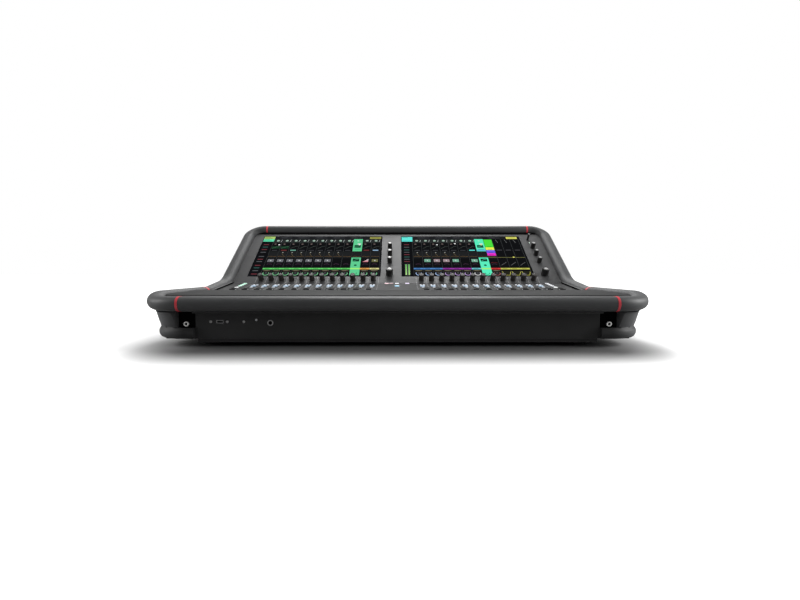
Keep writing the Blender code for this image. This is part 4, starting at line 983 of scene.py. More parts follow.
@dataclass(frozen=True)
class PalmRest:
    """Top moulding between the bumper and the faders."""

    inset: float = 0.0135
    side_inset: float = 0.016
    corner_inset: float = 0.0175
    tilt: float = radians(0.9)
    rise: float = 0.0140
    rear_y: float = -0.121535
    wall: float = 0.003
    edge: float = 0.0022
    skirt: float = 0.0025
    gap: float = 0.0004
    lift: float = 0.0006
    plate_half: float = 0.4235
    steps: int = 24
    edge_steps: int = 4

    def build(self) -> None:
        """Make the panel with its rolled edge and the skirt behind it."""
        front_y = LAYOUT.rim_front_y + self.inset
        half, length = LAYOUT.rim_x - self.side_inset, self.rear_y - front_y
        radius = LAYOUT.corner_radius - self.corner_inset
        rings = []
        for step in range(self.edge_steps + 1):
            turn = pi / 2 * step / self.edge_steps
            inset, z = self.edge * (1 - cos(turn)), self.edge * (sin(turn) - 1)
            right = arc((half - radius, radius), radius - inset, -pi / 2, 0.0, self.steps)
            right.append((half - inset, length - inset))
            ring = right + [(-x, y) for x, y in reversed(right)]
            if not rings:
                rings.append([(x, y, -self.wall) for x, y in ring])
            rings.append([(x, y, z) for x, y in ring])
        top = LAYOUT.rim_front_z + self.rise
        place = at(0.0, front_y, top) @ Matrix.Rotation(self.tilt, 4, "X")
        panel = moved(loft(rings), place)
        rear_top = top + length * tan(self.tilt)
        foot = LAYOUT.fold_z + (self.rear_y - LAYOUT.fold_y) * tan(LAYOUT.panel_tilt) + self.lift
        skirt = rounded_box((-self.plate_half, self.rear_y - self.skirt, foot),
                            (self.plate_half, self.rear_y - self.gap, rear_top - self.wall / 2))
        publish("palm_rest_skin", joined(panel, skirt), PALM_SKIN,
                replaces=["palm_rest"], angle=50.0)


class Boolean(Enum):
    """What a second shape does to the first."""

    CUT = "DIFFERENCE"
    JOIN = "UNION"


def combined(name: str, base: bpy.types.Mesh, other: bpy.types.Mesh,
             step: Boolean) -> bpy.types.Mesh:
    """Cut one mesh with another, or join the two.

    Args:
        name: Name of the result.
        base: The first mesh, which is removed.
        other: The second mesh, which is removed.
        step: Whether to cut or to join.

    Returns:
        The resulting mesh.
    """
    holders = [linked(name, mesh) for mesh in (base, other)]
    tool = holders[0].modifiers.new(name, "BOOLEAN")
    tool.operation, tool.solver, tool.object = step.value, "EXACT", holders[1]
    made = evaluated(holders[0])
    for holder in holders:
        bpy.data.objects.remove(holder, do_unlink=True)
    for mesh in (base, other):
        bpy.data.meshes.remove(mesh)
    return made


@dataclass(frozen=True)
class Cheeks:
    """Moulded ends under the rails, with a bolt in the recess of each."""

    levels: tuple[Point2, ...] = (
        (0.0150, 0.0240), (0.0165, 0.0215), (0.0185, 0.0203), (0.0215, 0.0188),
        (0.0245, 0.0182), (0.0290, 0.0187), (0.0325, 0.0206), (0.0342, 0.0216),
        (0.0350, 0.0219), (0.0358, 0.0216), (0.0450, 0.0187), (0.0600, 0.0146),
    )
    base_steps: int = 32
    neck_steps: tuple[float, ...] = (0.35, 0.7, 1.0)
    gap: float = 0.0003
    top_inset: float = 0.0125
    top_gap: float = 0.0009
    rear_radius: float = 0.030
    under_rim: float = 0.0137
    upper_inset: float = 0.0145
    upper_lap: float = 0.004
    corner_drop: float = 0.003
    front_wall_y: float = -0.281
    rear_wall_y: float = 0.286
    recess_end: float = 0.397
    recess_round: float = 0.016
    flare_reach: float = 0.0162
    toe_y: float = -0.2898
    recess_bottom: float = 0.0346
    recess_wall: float = 0.003
    shade_sheet: float = 0.0002
    bolt_x: float = 0.3672
    bolt_z: float = 0.0409
    bolt_radius: float = 0.00475
    bolt_proud: float = 0.0040
    bolt_bore: float = 0.55
    shade_sheet_start: float = 0.0004
    shade_sheet_end: float = 0.0085
    wedge_lap: float = 0.002
    wedge_round: float = 0.006
    flare_steps: int = 14
    steps: int = 24

    def inset_at(self, z: float) -> float:
        """Inset at a height, on a smooth curve through the levels."""
        levels = self.levels
        low = max(i for i in range(len(levels) - 1) if levels[i][0] <= z + 1e-9)
        (z0, a), (z1, b) = levels[low], levels[low + 1]
        before, after = levels[max(low - 1, 0)], levels[min(low + 2, len(levels) - 1)]
        span = z1 - z0
        slope0 = (b - before[1]) / (z1 - before[0]) if low else (b - a) / span
        slope1 = (after[1] - a) / (after[0] - z0) if after != levels[low + 1] else (b - a) / span
        t = (z - z0) / span
        return (a * (2 * t**3 - 3 * t**2 + 1) + slope0 * span * (t**3 - 2 * t**2 + t)
                + b * (3 * t**2 - 2 * t**3) + slope1 * span * (t**3 - t**2))

    def outline(self, inset: float) -> list[Point2]:
        """Plan of the right cheek, set in from the rim's outside."""
        inner = LAYOUT.front_panel_half + self.gap
        outer, rear = LAYOUT.width / 2 - inset, LAYOUT.depth / 2 - inset
        front = -rear
        radius = LAYOUT.corner_radius + LAYOUT.rim_width / 2 - inset
        line = [(inner, front)]
        line += arc((outer - radius, front + radius), radius, -pi / 2, 0.0, self.steps)
        line += [(outer, y) for y in (*LAYOUT.side_rows, LAYOUT.bends[0][0], LAYOUT.fold_y)]
        back = self.rear_radius
        line += arc((outer - back, rear - back), back, 0.0, pi / 2, self.steps // 2)
        return line + [(inner, rear)]

    def top(self, x: float, y: float) -> float:
        """Height of the top: close under the rail, level behind the fold and inside."""
        if x < LAYOUT.chassis_half:
            return LAYOUT.rim_front_z - self.under_rim - self.top_gap
        fold = LAYOUT.fold_z - LAYOUT.rail_drop - self.under_rim / cos(LAYOUT.rail_tilt)
        climb = fold + (min(y, LAYOUT.fold_y) - LAYOUT.fold_y) * tan(LAYOUT.rail_tilt)
        rising = y < LAYOUT.rise_end - 1e-6
        return max(LAYOUT.rim_z(y) - self.under_rim - (self.top_gap if rising else 0.0), climb)

    def base(self) -> bmesh.types.BMesh:
        """Loft of the plan through its levels, up to the underside of the rim."""
        low, high = self.levels[0][0], self.levels[-1][0]
        rings = []
        for i in range(self.base_steps + 1):
            z = low + (high - low) * i / self.base_steps
            rings.append([(x, y, z) for x, y in self.outline(self.inset_at(z))])
        for share in self.neck_steps:
            inset = self.levels[-1][1] * (1 - share) + self.top_inset * share
            rings.append([(x, y, high * (1 - share) + self.top(x, y) * share)
                          for x, y in self.outline(inset)])
        shape = loft(rings)
        bmesh.ops.triangulate(shape, faces=[face for face in shape.faces if len(face.verts) > 4])
        return shape

    def upper(self) -> bmesh.types.BMesh:
        """Wedge beside the screens, under the sloping stretch of the rail."""
        tilt, hood_y, hood_z = LAYOUT.screen_tilt, LAYOUT.hood_y, LAYOUT.hood_z
        low = self.levels[-2][0]
        drop = self.under_rim / cos(tilt)
        start = hood_y + (low - hood_z + drop) / tan(tilt)
        rear = self.rear_wall_y + self.upper_lap
        top = hood_z + (rear - hood_y) * tan(tilt) - (self.under_rim + self.corner_drop) / cos(tilt)
        corner = hood_y - LAYOUT.hood_radius * cos(tilt)
        side = [(start, low), (rear, low), (rear, top),
                (corner, hood_z + (corner - hood_y) * tan(tilt) - drop)]
        outer = LAYOUT.width / 2 - self.upper_inset
        inner = LAYOUT.chassis_half - self.wedge_lap
        shape = loft([[(x, y, z) for y, z in side] for x in (inner, outer)])
        edges = [edge for edge in shape.edges if all(v.co.x > outer - 1e-6 for v in edge.verts)]
        bmesh.ops.bevel(shape, geom=edges, offset=self.wedge_round, segments=4, profile=0.5,
                        affect="EDGES")
        return shape

    def clearance(self) -> list[bmesh.types.BMesh]:
        """What the chassis and the bolt's recess take out."""
        inner = rounded_box((0.0, self.front_wall_y - self.gap, 0.0),
                            (LAYOUT.chassis_half + self.gap, LAYOUT.depth, LAYOUT.height))
        recess = self.scoop(self.front_wall_y - self.recess_wall, self.recess_bottom, LAYOUT.height)
        return [inner, recess]

    def scoop(self, back: float, low: float, high: float) -> bmesh.types.BMesh:
        """Space beside the front panel, flared towards the front at its outer end."""
        middle = (self.recess_end, self.front_wall_y - self.flare_reach + self.recess_round)
        start = asin((back - middle[1]) / self.recess_round)
        flare = arc(middle, self.recess_round, -pi - start, -pi / 2, self.flare_steps)
        side = [(LAYOUT.front_panel_half, -LAYOUT.depth), (LAYOUT.front_panel_half, back), *flare,
                (self.recess_end, -LAYOUT.depth)]
        return loft([[(x, y, z) for x, y in side] for z in (low, high)])

    def shade_sheets(self) -> bmesh.types.BMesh:
        """Painted shade: flat black sheets on the back and the floor of the right recess."""
        inner = LAYOUT.front_panel_half + self.shade_sheet_start
        outer = self.recess_end - self.shade_sheet_end
        back, low = self.front_wall_y - self.recess_wall, self.recess_bottom
        thin = self.shade_sheet
        high = LAYOUT.rim_front_z - self.under_rim - self.top_gap
        return joined(rounded_box((inner, back - thin, low), (outer, back, high)),
                      rounded_box((inner, self.toe_y, low), (outer, back - thin, low + thin)))

    def bolt(self) -> bmesh.types.BMesh:
        """Round head with a socket in it, along local Z."""
        out, bore, top = self.bolt_radius, self.bolt_radius * self.bolt_bore, self.bolt_proud
        profile = [(out, -0.001), (out, top - 0.0008), (out * 0.93, top - 0.0002),
                   (out * 0.84, top), (bore, top), (bore * 0.95, 0.0015)]
        return turned(profile, 32)

    def build(self) -> None:
        """Make both cheeks and their bolts."""
        for name, side in (("right_cheek", 1), ("left_cheek", -1)):
            meshes = [to_mesh(mirrored(shape, side), name)
                      for shape in (self.base(), self.upper(), *self.clearance())]
            cheek = combined(name, meshes[0], meshes[1], Boolean.JOIN)
            for cutter in meshes[2:]:
                cheek = combined(name, cheek, cutter, Boolean.CUT)
            publish(name + "_skin", soften(cheek, 35.0), CHEEK_SKIN, replaces=[name])
        # painted shade: flat black sheets where the recesses lie in shade
        publish("recess_liners", joined(*(mirrored(self.shade_sheets(), side) for side in (1, -1))),
                SHADE_BLACK)
        places = [at(side * self.bolt_x, self.front_wall_y - self.recess_wall, self.bolt_z)
                  @ Matrix.Rotation(pi / 2, 4, "X") for side in (-1, 1)]
        # painted shade: a black fill in the socket of each bolt
        shade_fill = [(self.bolt_radius * 0.53, z) for z in (0.0, 0.0022)]
        publish("cheek_bolts", joined(*(moved(self.bolt(), place) for place in places)),
                BOLT_STEEL)
        publish("bolt_sockets", joined(*(moved(turned(shade_fill, 24), place) for place in places)),
                BLACK_PLASTIC)


@dataclass(frozen=True)
class Tray:
    """The chassis, with its floor stepped up under the cheeks."""

    step_x: float = 0.350
    step_z: float = 0.0147
    lap: float = 0.0001
    floor_z: float = 0.008
    front_y: float = -0.281
    rear_y: float = 0.2855
    sheet: float = 0.002

    def build(self, nodes: dict[str, bpy.types.Object]) -> None:
        """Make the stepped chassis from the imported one.

        Args:
            nodes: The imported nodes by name.
        """
        tray = nodes["chassis"].data.copy()
        inner = self.step_x - self.sheet
        for side in (-1, 1):
            for step, low, high in (
                    (Boolean.CUT, (self.step_x, -LAYOUT.depth, -0.01),
                     (LAYOUT.width, LAYOUT.depth, self.step_z)),
                    (Boolean.JOIN, (inner, self.front_y, self.step_z - self.lap),
                     (LAYOUT.chassis_half, self.rear_y, self.step_z + self.sheet)),
                    (Boolean.JOIN, (inner, self.front_y, self.floor_z),
                     (self.step_x, self.rear_y, self.step_z + self.sheet / 2))):
                box = to_mesh(mirrored(rounded_box(low, high), side), "chassis_tray")
                tray = combined("chassis_tray", tray, box, step)
        publish("chassis_tray", soften(tray, 35.0), BLACK_PAINT,
                replaces=["chassis"])


# Fixings -------------------------------------------------------------------------------------
def cross_screw(radius: float, proud: float) -> bmesh.types.BMesh:
    """Pan-head screw with a cross recess, along local Z."""
    sides, arm, slot = 24, radius * 0.60, radius * 0.16
    rings = []
    for share, height in ((1.0, -0.0004), (1.0, proud * 0.45), (0.86, proud * 0.85),
                          (0.70, proud)):
        rings.append([(radius * share * cos(t), radius * share * sin(t), height)
                      for t in (2 * pi * i / sides for i in range(sides))])
    for height in (proud, proud * 0.2):
        ring = []
        for i in range(sides):
            turn = 2 * pi * i / sides
            near = abs((turn + pi / 4) % (pi / 2) - pi / 4)
            reach = min(arm / cos(near), slot / max(sin(near), 1e-6))
            ring.append((reach * cos(turn), reach * sin(turn), height))
        rings.append(ring)
    return loft(rings)


# Screens -------------------------------------------------------------------------------------
class Canvas:
    """Flat shapes in layers, each a closed sliver that carries its own glow."""

    lift = 0.00006
    arc_steps = 10

    def __init__(self) -> None:
        """Start empty."""
        self.points: list[Point3] = []
        self.faces: list[tuple[int, ...]] = []
        self.glow: list[Colour] = []

    def prism(self, outline: Sequence[Point2], colours: Sequence[Colour], layer: int) -> None:
        """A flat outline, anticlockwise, with a colour for each corner."""
        start, count = len(self.points), len(outline)
        for z in (0.0, layer * self.lift):
            self.points += [(x, y, z) for x, y in outline]
            self.glow += colours
        self.faces.append(tuple(start + i for i in reversed(range(count))))
        self.faces.append(tuple(start + count + i for i in range(count)))
        for i in range(count):
            j = (i + 1) % count
            self.faces.append((start + i, start + j, start + count + j, start + count + i))

    def rect(self, u0: float, v0: float, u1: float, v1: float, top: Colour,
             bottom: Colour | None = None, layer: int = 1) -> None:
        """A rectangle in millimetres from the top left, with an even fade between two colours."""
        low = bottom or top
        self.prism([(u0, -v1), (u1, -v1), (u1, -v0), (u0, -v0)], [low, low, top, top], layer)

    def dot(self, u: float, v: float, radius: float, colour: Colour, layer: int = 2,
            sides: int = 14) -> None:
        """A round spot."""
        ring = [(u + radius * cos(2 * pi * i / sides), -v + radius * sin(2 * pi * i / sides))
                for i in range(sides)]
        self.prism(ring, [colour] * sides, layer)

    def stroke(self, path: Sequence[Point2], width: float, colour: Colour, layer: int = 2) -> None:
        """A line of even width through points."""
        left, right = [], []
        for i, (u, v) in enumerate(path):
            before, after = path[max(i - 1, 0)], path[min(i + 1, len(path) - 1)]
            along = Vector((after[0] - before[0], before[1] - after[1])).normalized()
            side = Vector((-along.y, along.x)) * width / 2
            left.append((u + side.x, -v + side.y))
            right.append((u - side.x, -v - side.y))
        for i in range(len(path) - 1):
            self.prism([right[i], right[i + 1], left[i + 1], left[i]], [colour] * 4, layer)

    def arc(self, u: float, v: float, radius: float, start: float, end: float, width: float,
            colour: Colour, layer: int = 2) -> None:
        """An arc by angles in degrees, anticlockwise from the right."""
        turns = [radians(start + (end - start) * i / self.arc_steps)
                 for i in range(self.arc_steps + 1)]
        path = [(u + radius * cos(t), v - radius * sin(t)) for t in turns]
        self.stroke(path, width, colour, layer)

    def mesh(self, name: str, place: Matrix) -> bpy.types.Mesh:
        """The shapes as one mesh, with millimetres made metres.

        Args:
            name: Name of the mesh.
            place: Where the canvas's top left corner goes.

        Returns:
            The mesh with its glow attribute.
        """
        made = bpy.data.meshes.new(name)
        spots = [place @ Vector((x / 1000, y / 1000, z)) for x, y, z in self.points]
        made.from_pydata(spots, [], self.faces)
        shine = made.attributes.new("glow", "FLOAT_COLOR", "POINT")
        for item, colour in zip(shine.data, self.glow):
            item.color = (*colour, 1.0)
        return made


BLACK = linear(15, 16, 18)
PANEL_DARK = linear(42, 46, 45)
HEADER = linear(32, 33, 35)
DIM = linear(78, 78, 82)
PALE = linear(215, 220, 220)
WHITE = linear(240, 240, 240)
MINT = linear(100, 232, 180)
GREEN = linear(100, 212, 105)
YELLOW = linear(225, 222, 105)
OLIVE = linear(135, 135, 78)
ORANGE = linear(232, 165, 85)
RED = linear(215, 60, 60)
PINK = linear(205, 110, 125)
CYAN = linear(100, 235, 222)
BLUE = linear(75, 130, 195)
ICE = linear(170, 195, 235)
VIOLET = linear(110, 90, 230)
PURPLE = linear(150, 55, 162)
MAGENTA = linear(238, 45, 200)
LEAF = linear(75, 225, 62)
LEMON = linear(235, 240, 80)
DULL_RED = linear(128, 60, 68)
DULL_TEAL = linear(60, 104, 98)
DULL_GREY = linear(96, 98, 102)


@dataclass(frozen=True)
class ScreenPage:
    """What one screen shows: twelve strips beside a side bar."""

    name: str
    left: float
    first: float
    pitch: float
    blocks: tuple[tuple[float, float, Colour], ...]
    label: tuple[float, float, Colour]
    side: tuple[tuple[Colour, tuple[float, ...]], ...]
    lines: tuple[Colour, ...]
    feet: tuple[Colour, ...]
    knobs: tuple[int, ...]
    boxes: tuple[tuple[int, Colour], ...]
    tags: tuple[tuple[int, Colour], ...]
    chosen: int
    chosen_colour: Colour
    blank: tuple[int, ...] = ()
    width: float = 351.0
    length: float = 200.6
    bottom: float = 28.5

    def centre(self, strip: int) -> float:
        """Middle of a strip, counted from 0."""
        return self.first + self.pitch * strip

    def frame(self, canvas: Canvas) -> None:
        """Dark ground, header, side bar and the rules between the strips."""
        canvas.rect(0.6, 0.6, self.width - 0.6, self.length - 0.6, BLACK, layer=1)
        canvas.rect(1.0, 2.5, self.width - 3.0, 16.0, HEADER, linear(26, 27, 30), 2)
        for top, bottom, colour in self.blocks:
            canvas.rect(2.0, top, 33.5, bottom, colour, layer=3)
            canvas.rect(4.0, top + 3.0, 20.0, top + 4.2, BLACK, layer=4)
            canvas.rect(4.0, bottom - 4.5, 26.0, bottom - 3.3, BLACK, layer=4)
        start, end, colour = self.label
        canvas.rect(start, 4.0, end, 15.0, colour, layer=3)
        canvas.rect(start + 4, 8.5, end - 5, 9.8, BLACK, layer=4)
        for u in range(5):
            canvas.rect(48 + 52 * u, 6.5, 84 + 52 * u, 12.0, linear(44, 45, 48), layer=3)
            canvas.rect(52 + 52 * u, 8.6, 70 + 52 * u, 9.7, linear(84, 85, 88), layer=4)
        canvas.rect(0.6, 30.5, 28.5, self.length - 0.6, linear(14, 15, 18), layer=2)
        for colour, v in ((colour, v) for colour, rows in self.side for v in rows):
            canvas.rect(8.0, v - 1.3, 23.0, v + 1.3, colour, layer=3)
            canvas.rect(4.0, v + 4.2, 24.0, v + 4.7, PANEL_DARK, layer=3)
        for strip in range(13):
            u = self.first + self.pitch * (strip - 0.5)
            canvas.rect(u - 0.25, 17.0, u + 0.25, self.length - 2, linear(80, 84, 84), layer=3)

    def strip(self, canvas: Canvas, number: int) -> None:
        """One strip: gain at the top, filters, dynamics and its foot."""
        u = self.centre(number)
        canvas.rect(u - 12.7, 162.5, u + 12.7, 168.8, self.lines[number], layer=3)
        canvas.rect(u - 8.0, 165.0, u + 5.0, 166.2, BLACK, layer=4)
        if number in self.blank:
            canvas.rect(u - 8.0, 73.5, u + 7.0, 76.0, DIM, layer=3)
            return
        canvas.rect(u - 12.0, 17.5, u + 12.0, 36.5, PANEL_DARK, layer=2)
        canvas.dot(u, 25.0, 3.9, linear(190, 220, 200), 3, 18)
        canvas.dot(u, 25.0, 2.6, linear(120, 150, 140), 4, 14)
        canvas.stroke([(u, 25.0), (u + 1.9, 22.3)], 0.9, WHITE, 5)
        canvas.stroke([(u + 9.0, 31.5), (u + 11.2, 20.5)], 0.9, PALE, 3)
        canvas.dot(u - 4.5, 43.5, 2.4, linear(112, 98, 94), 3, 12)
        canvas.arc(u - 4.5, 43.5, 3.5, -50, 230, 0.6, linear(90, 80, 78), 3)
        canvas.stroke([(u - 10, 66.0), (u - 5, 63.5), (u + 2, 56.5), (u + 10, 54.5)], 0.8,
                      linear(84, 92, 86), 3)
        canvas.rect(u - 8.0, 75.0, u + 7.0, 77.4, linear(66, 68, 72), layer=3)
        canvas.rect(u - 11.5, 81.0, u + 11.5, 115.5, linear(30, 32, 33), layer=2)
        canvas.stroke([(u - 11, 107.5), (u - 4, 106.0), (u + 3, 108.5), (u + 11, 106.5)], 0.9,
                      linear(122, 94, 54), 3)
        for v in (91.0, 99.0):
            canvas.stroke([(u - 11, v + 6), (u + 11, v + 6)], 0.25, linear(45, 45, 50), 3)
        canvas.arc(u, 152.0, 9.0, 40, 140, 0.8, linear(98, 66, 92), 3)
        canvas.rect(u - 9.5, 172.5, u + 9.5, 177.0, linear(84, 80, 62), layer=3)
        canvas.rect(u - 6.0, 174.5, u + 4.0, 175.5, linear(150, 140, 120), layer=4)
        canvas.arc(u, 187.5, 7.6, 150, 390, 2.0, self.feet[number], 3)
        canvas.rect(u - 3.0, 183.0, u + 3.0, 187.5, DIM, layer=3)

    def marks(self, canvas: Canvas) -> None:
        """Lit dots, boxes and labels that only some strips show."""
        for number in self.knobs:
            u = self.centre(number) + self.pitch / 2 - 13.5
            canvas.dot(u, 87.5, 1.7, linear(170, 172, 165), 4, 12)
            canvas.stroke([(u - 2, 92.0), (u + 5, 104.0)], 0.8, linear(118, 102, 72), 4)
        for number, colour in self.boxes:
            u = self.centre(number)
            canvas.rect(u - 8.5, 120.5, u + 8.5, 134.0, colour, layer=3)
            canvas.stroke([(u - 6, 133), (u, 127), (u + 7, 123)], 0.8, BLACK, 4)
            canvas.dot(u, 127.0, 1.9, PALE, 5, 10)
        for number, colour in self.tags:
            u = self.centre(number)
            canvas.rect(u - 8.0, 73.5, u + 8.0, 78.0, colour, layer=4)

    def selected(self, canvas: Canvas) -> None:
        """The strip in use, picked out in its colour."""
        u, colour = self.centre(self.chosen), self.chosen_colour
        half = self.pitch / 2
        for top, bottom in ((16.5, 81.0), (113.0, 195.0)):
            canvas.rect(u - half, top, u + half, bottom, colour, layer=6)
        for top, bottom in ((49.0, 63.0), (118.0, 132.0)):
            canvas.rect(u - 9.0, top, u + 9.0, bottom, linear(15, 60, 42), layer=7)
            canvas.stroke([(u - 7, bottom - 3), (u, top + 6), (u + 7, top + 3)], 0.9, colour, 8)
        canvas.rect(u - half, 162.5, u + half, 168.8, linear(160, 240, 120), layer=7)
        canvas.dot(u, 26.0, 3.0, linear(175, 225, 200), 7, 18)
        canvas.rect(u - 1.0, 40.5, u + 9.0, 45.0, PALE, layer=7)
        canvas.rect(u - 8, 70, u + 8, 72, linear(60, 150, 110), layer=7)
        canvas.dot(u, 150, 4.0, linear(30, 90, 66), 7, 16)
        canvas.arc(u, 186.0, 6.0, 165, 375, 1.4, linear(20, 70, 50), 7)

    def publish(self, canvas: Canvas) -> None:
        """Put the drawing on its glass."""
        corner = at(self.left / 1000, (self.bottom + self.length) / 1000, 0.00002)
        mesh = canvas.mesh(self.name, LAYOUT.screen @ corner)
        publish(self.name, mesh, LIT_SCREEN)

    def build(self, extras: Callable[["ScreenPage", Canvas], None]) -> None:
        """Draw the page.

        Args:
            extras: What only this page shows.
        """
        canvas = Canvas()
        self.frame(canvas)
        for number in range(12):
            self.strip(canvas, number)
        self.marks(canvas)
        self.selected(canvas)
        extras(self, canvas)
        self.publish(canvas)


def left_extras(page: ScreenPage, canvas: Canvas) -> None:
    """Bright filter dots and the two tinted strips of the left page."""
    for u in (53.0, 286.0):
        canvas.dot(u, 47.0, 2.5, WHITE, 8, 14)
    for number in (0, 1):
        u = page.centre(number)
        canvas.rect(u - 11.5, 54.0, u + 11.5, 67.0, linear(22, 52, 34), layer=3)
        canvas.stroke([(u - 10, 65), (u - 3, 62), (u + 10, 55.5)], 0.8, linear(70, 130, 90), 4)
    u = page.centre(10)
    canvas.prism([(u - 8, -134.0), (u + 8, -134.0), (u + 8, -120.0)], [PINK, PINK, PALE], 4)


def right_extras(page: ScreenPage, canvas: Canvas) -> None:
    """Meters, filter dots and the block of colours of the right page."""
    canvas.rect(9.0, 143.5, 24.0, 196.0, DIM, layer=3)
    for u in (12.5, 20.5):
        canvas.rect(u - 2.9, 145.0, u + 2.9, 195.0, BLACK, layer=4)
        for i in range(14):
            top = 146.0 + 3.45 * i
            share = i / 13
            canvas.rect(u - 1.8, top, u + 1.8, top + 2.9,
                        linear(120 + 70 * share, 200 + 40 * share, 110 + 40 * share), layer=5)
    for u, v, colour in ((104.0, 47.0, PALE), (156.5, 41.0, WHITE), (232.0, 47.5, YELLOW),
                         (313.0, 111.0, YELLOW)):
        canvas.dot(u, v, 2.6, colour, 8, 14)
    u = page.centre(8)
    for top, bottom, colour in ((19.0, 61.0, LEAF), (61.0, 75.0, LEMON), (75.0, 91.0, VIOLET),
                                (91.0, 103.0, MAGENTA)):
        canvas.rect(u - 12.0, top, u + 12.0, bottom, colour, layer=6)
        canvas.rect(u - 7.0, bottom - 4.4, u + 6.0, bottom - 3.2, BLACK, layer=7)
    canvas.rect(u - 12.0, 111.4, u + 12.0, 112.6, OLIVE, layer=3)
    canvas.arc(u, 150.0, 14.0, 50, 130, 1.0, linear(120, 44, 48), 3)
    chosen = page.centre(page.chosen)
    canvas.rect(chosen - 12.5, 72.0, chosen + 12.5, 80.0, linear(90, 190, 215), layer=7)
    for number in (9, 10, 11):
        u = page.centre(number)
        canvas.stroke([(u + 2, 36), (u - 2, 20)], 0.9, linear(120, 122, 122), 6)
        canvas.stroke([(u - 8, 150), (u + 8, 135)], 0.9, linear(110, 110, 110), 4)
        canvas.rect(u - 12.5, 111.4, u + 12.5, 112.6, OLIVE, layer=3)
        canvas.rect(u - 11.5, 176.0, u + 11.5, 197.0, linear(34, 34, 24), layer=2)
        canvas.stroke([(u - 11.5, 178.0), (u - 7, 195.0), (u + 6, 195.0), (u + 11, 180.0)], 1.0,
                      YELLOW, 4)


LEFT_PAGE = ScreenPage(
    name="left_screen_page", left=-394.8, first=46.0, pitch=26.1,
    blocks=((2.5, 16.0, linear(170, 200, 110)), (16.0, 29.5, linear(100, 225, 175))),
    label=(314.5, 347.5, linear(150, 150, 75)),
    side=((DULL_RED, (46, 72, 121, 150, 190)), (DULL_TEAL, (59, 162)),
          (DULL_GREY, (86, 107, 132, 175))),
    lines=(GREEN,) * 9 + (linear(190, 240, 100), ORANGE, linear(225, 220, 150)),
    feet=(linear(130, 200, 150),) * 12,
    knobs=(1, 2, 3, 4, 5, 6, 7),
    boxes=tuple((i, linear(112, 113, 118)) for i in range(7)) + ((11, linear(110, 110, 72)),),
    tags=((1, linear(110, 50, 50)), (2, linear(110, 170, 150)), (10, linear(110, 50, 50)),
          (11, linear(150, 185, 215))),
    chosen=9, chosen_colour=linear(95, 205, 145),
)
RIGHT_PAGE = ScreenPage(
    name="right_screen_page", left=11.5, first=46.0, pitch=26.0,
    blocks=((4.0, 29.5, CYAN),), label=(311.0, 343.0, linear(220, 220, 100)),
    side=((DULL_RED, (46, 98, 132)), (DULL_TEAL, (74, 110)), (DULL_GREY, (60, 86, 121))),
    lines=(BLUE,) * 3 + (PURPLE,) * 3 + (linear(110, 200, 210), MINT, RED)
    + (linear(200, 200, 90),) * 3,
    feet=(ICE,) * 3 + (linear(190, 160, 215),) * 3 + (WHITE, MINT, linear(160, 100, 100))
    + (YELLOW,) * 3,
    knobs=(0, 1, 2, 3, 4),
    boxes=((1, linear(120, 175, 150)), (2, linear(160, 140, 145)), (3, linear(160, 140, 145)),
           (4, linear(120, 175, 150)), (6, linear(120, 175, 150)), (7, linear(40, 36, 38))),
    tags=((6, CYAN),),
    chosen=7, chosen_colour=linear(90, 240, 190), blank=(9, 10, 11),
)


# Working surface -----------------------------------------------------------------------------
@dataclass(frozen=True)
class KeyKind:
    """One kind of key: size across and along the strip, and its row in front of the fold."""

    width: float
    length: float
    row: float
    proud: float = 0.0012
    sunk: float = 0.0028
    edge: float = 0.0005

    def unit(self) -> bmesh.types.BMesh:
        """One key with rounded edges, its origin on the plate."""
        return rounded_box((-self.width / 2, -self.length / 2, -self.sunk),
                           (self.width / 2, self.length / 2, self.proud), self.edge)

    @staticmethod
    def place(x: float, row: float) -> Matrix:
        """Where a key goes on the working surface."""
        return LAYOUT.panel @ at(x, -row)


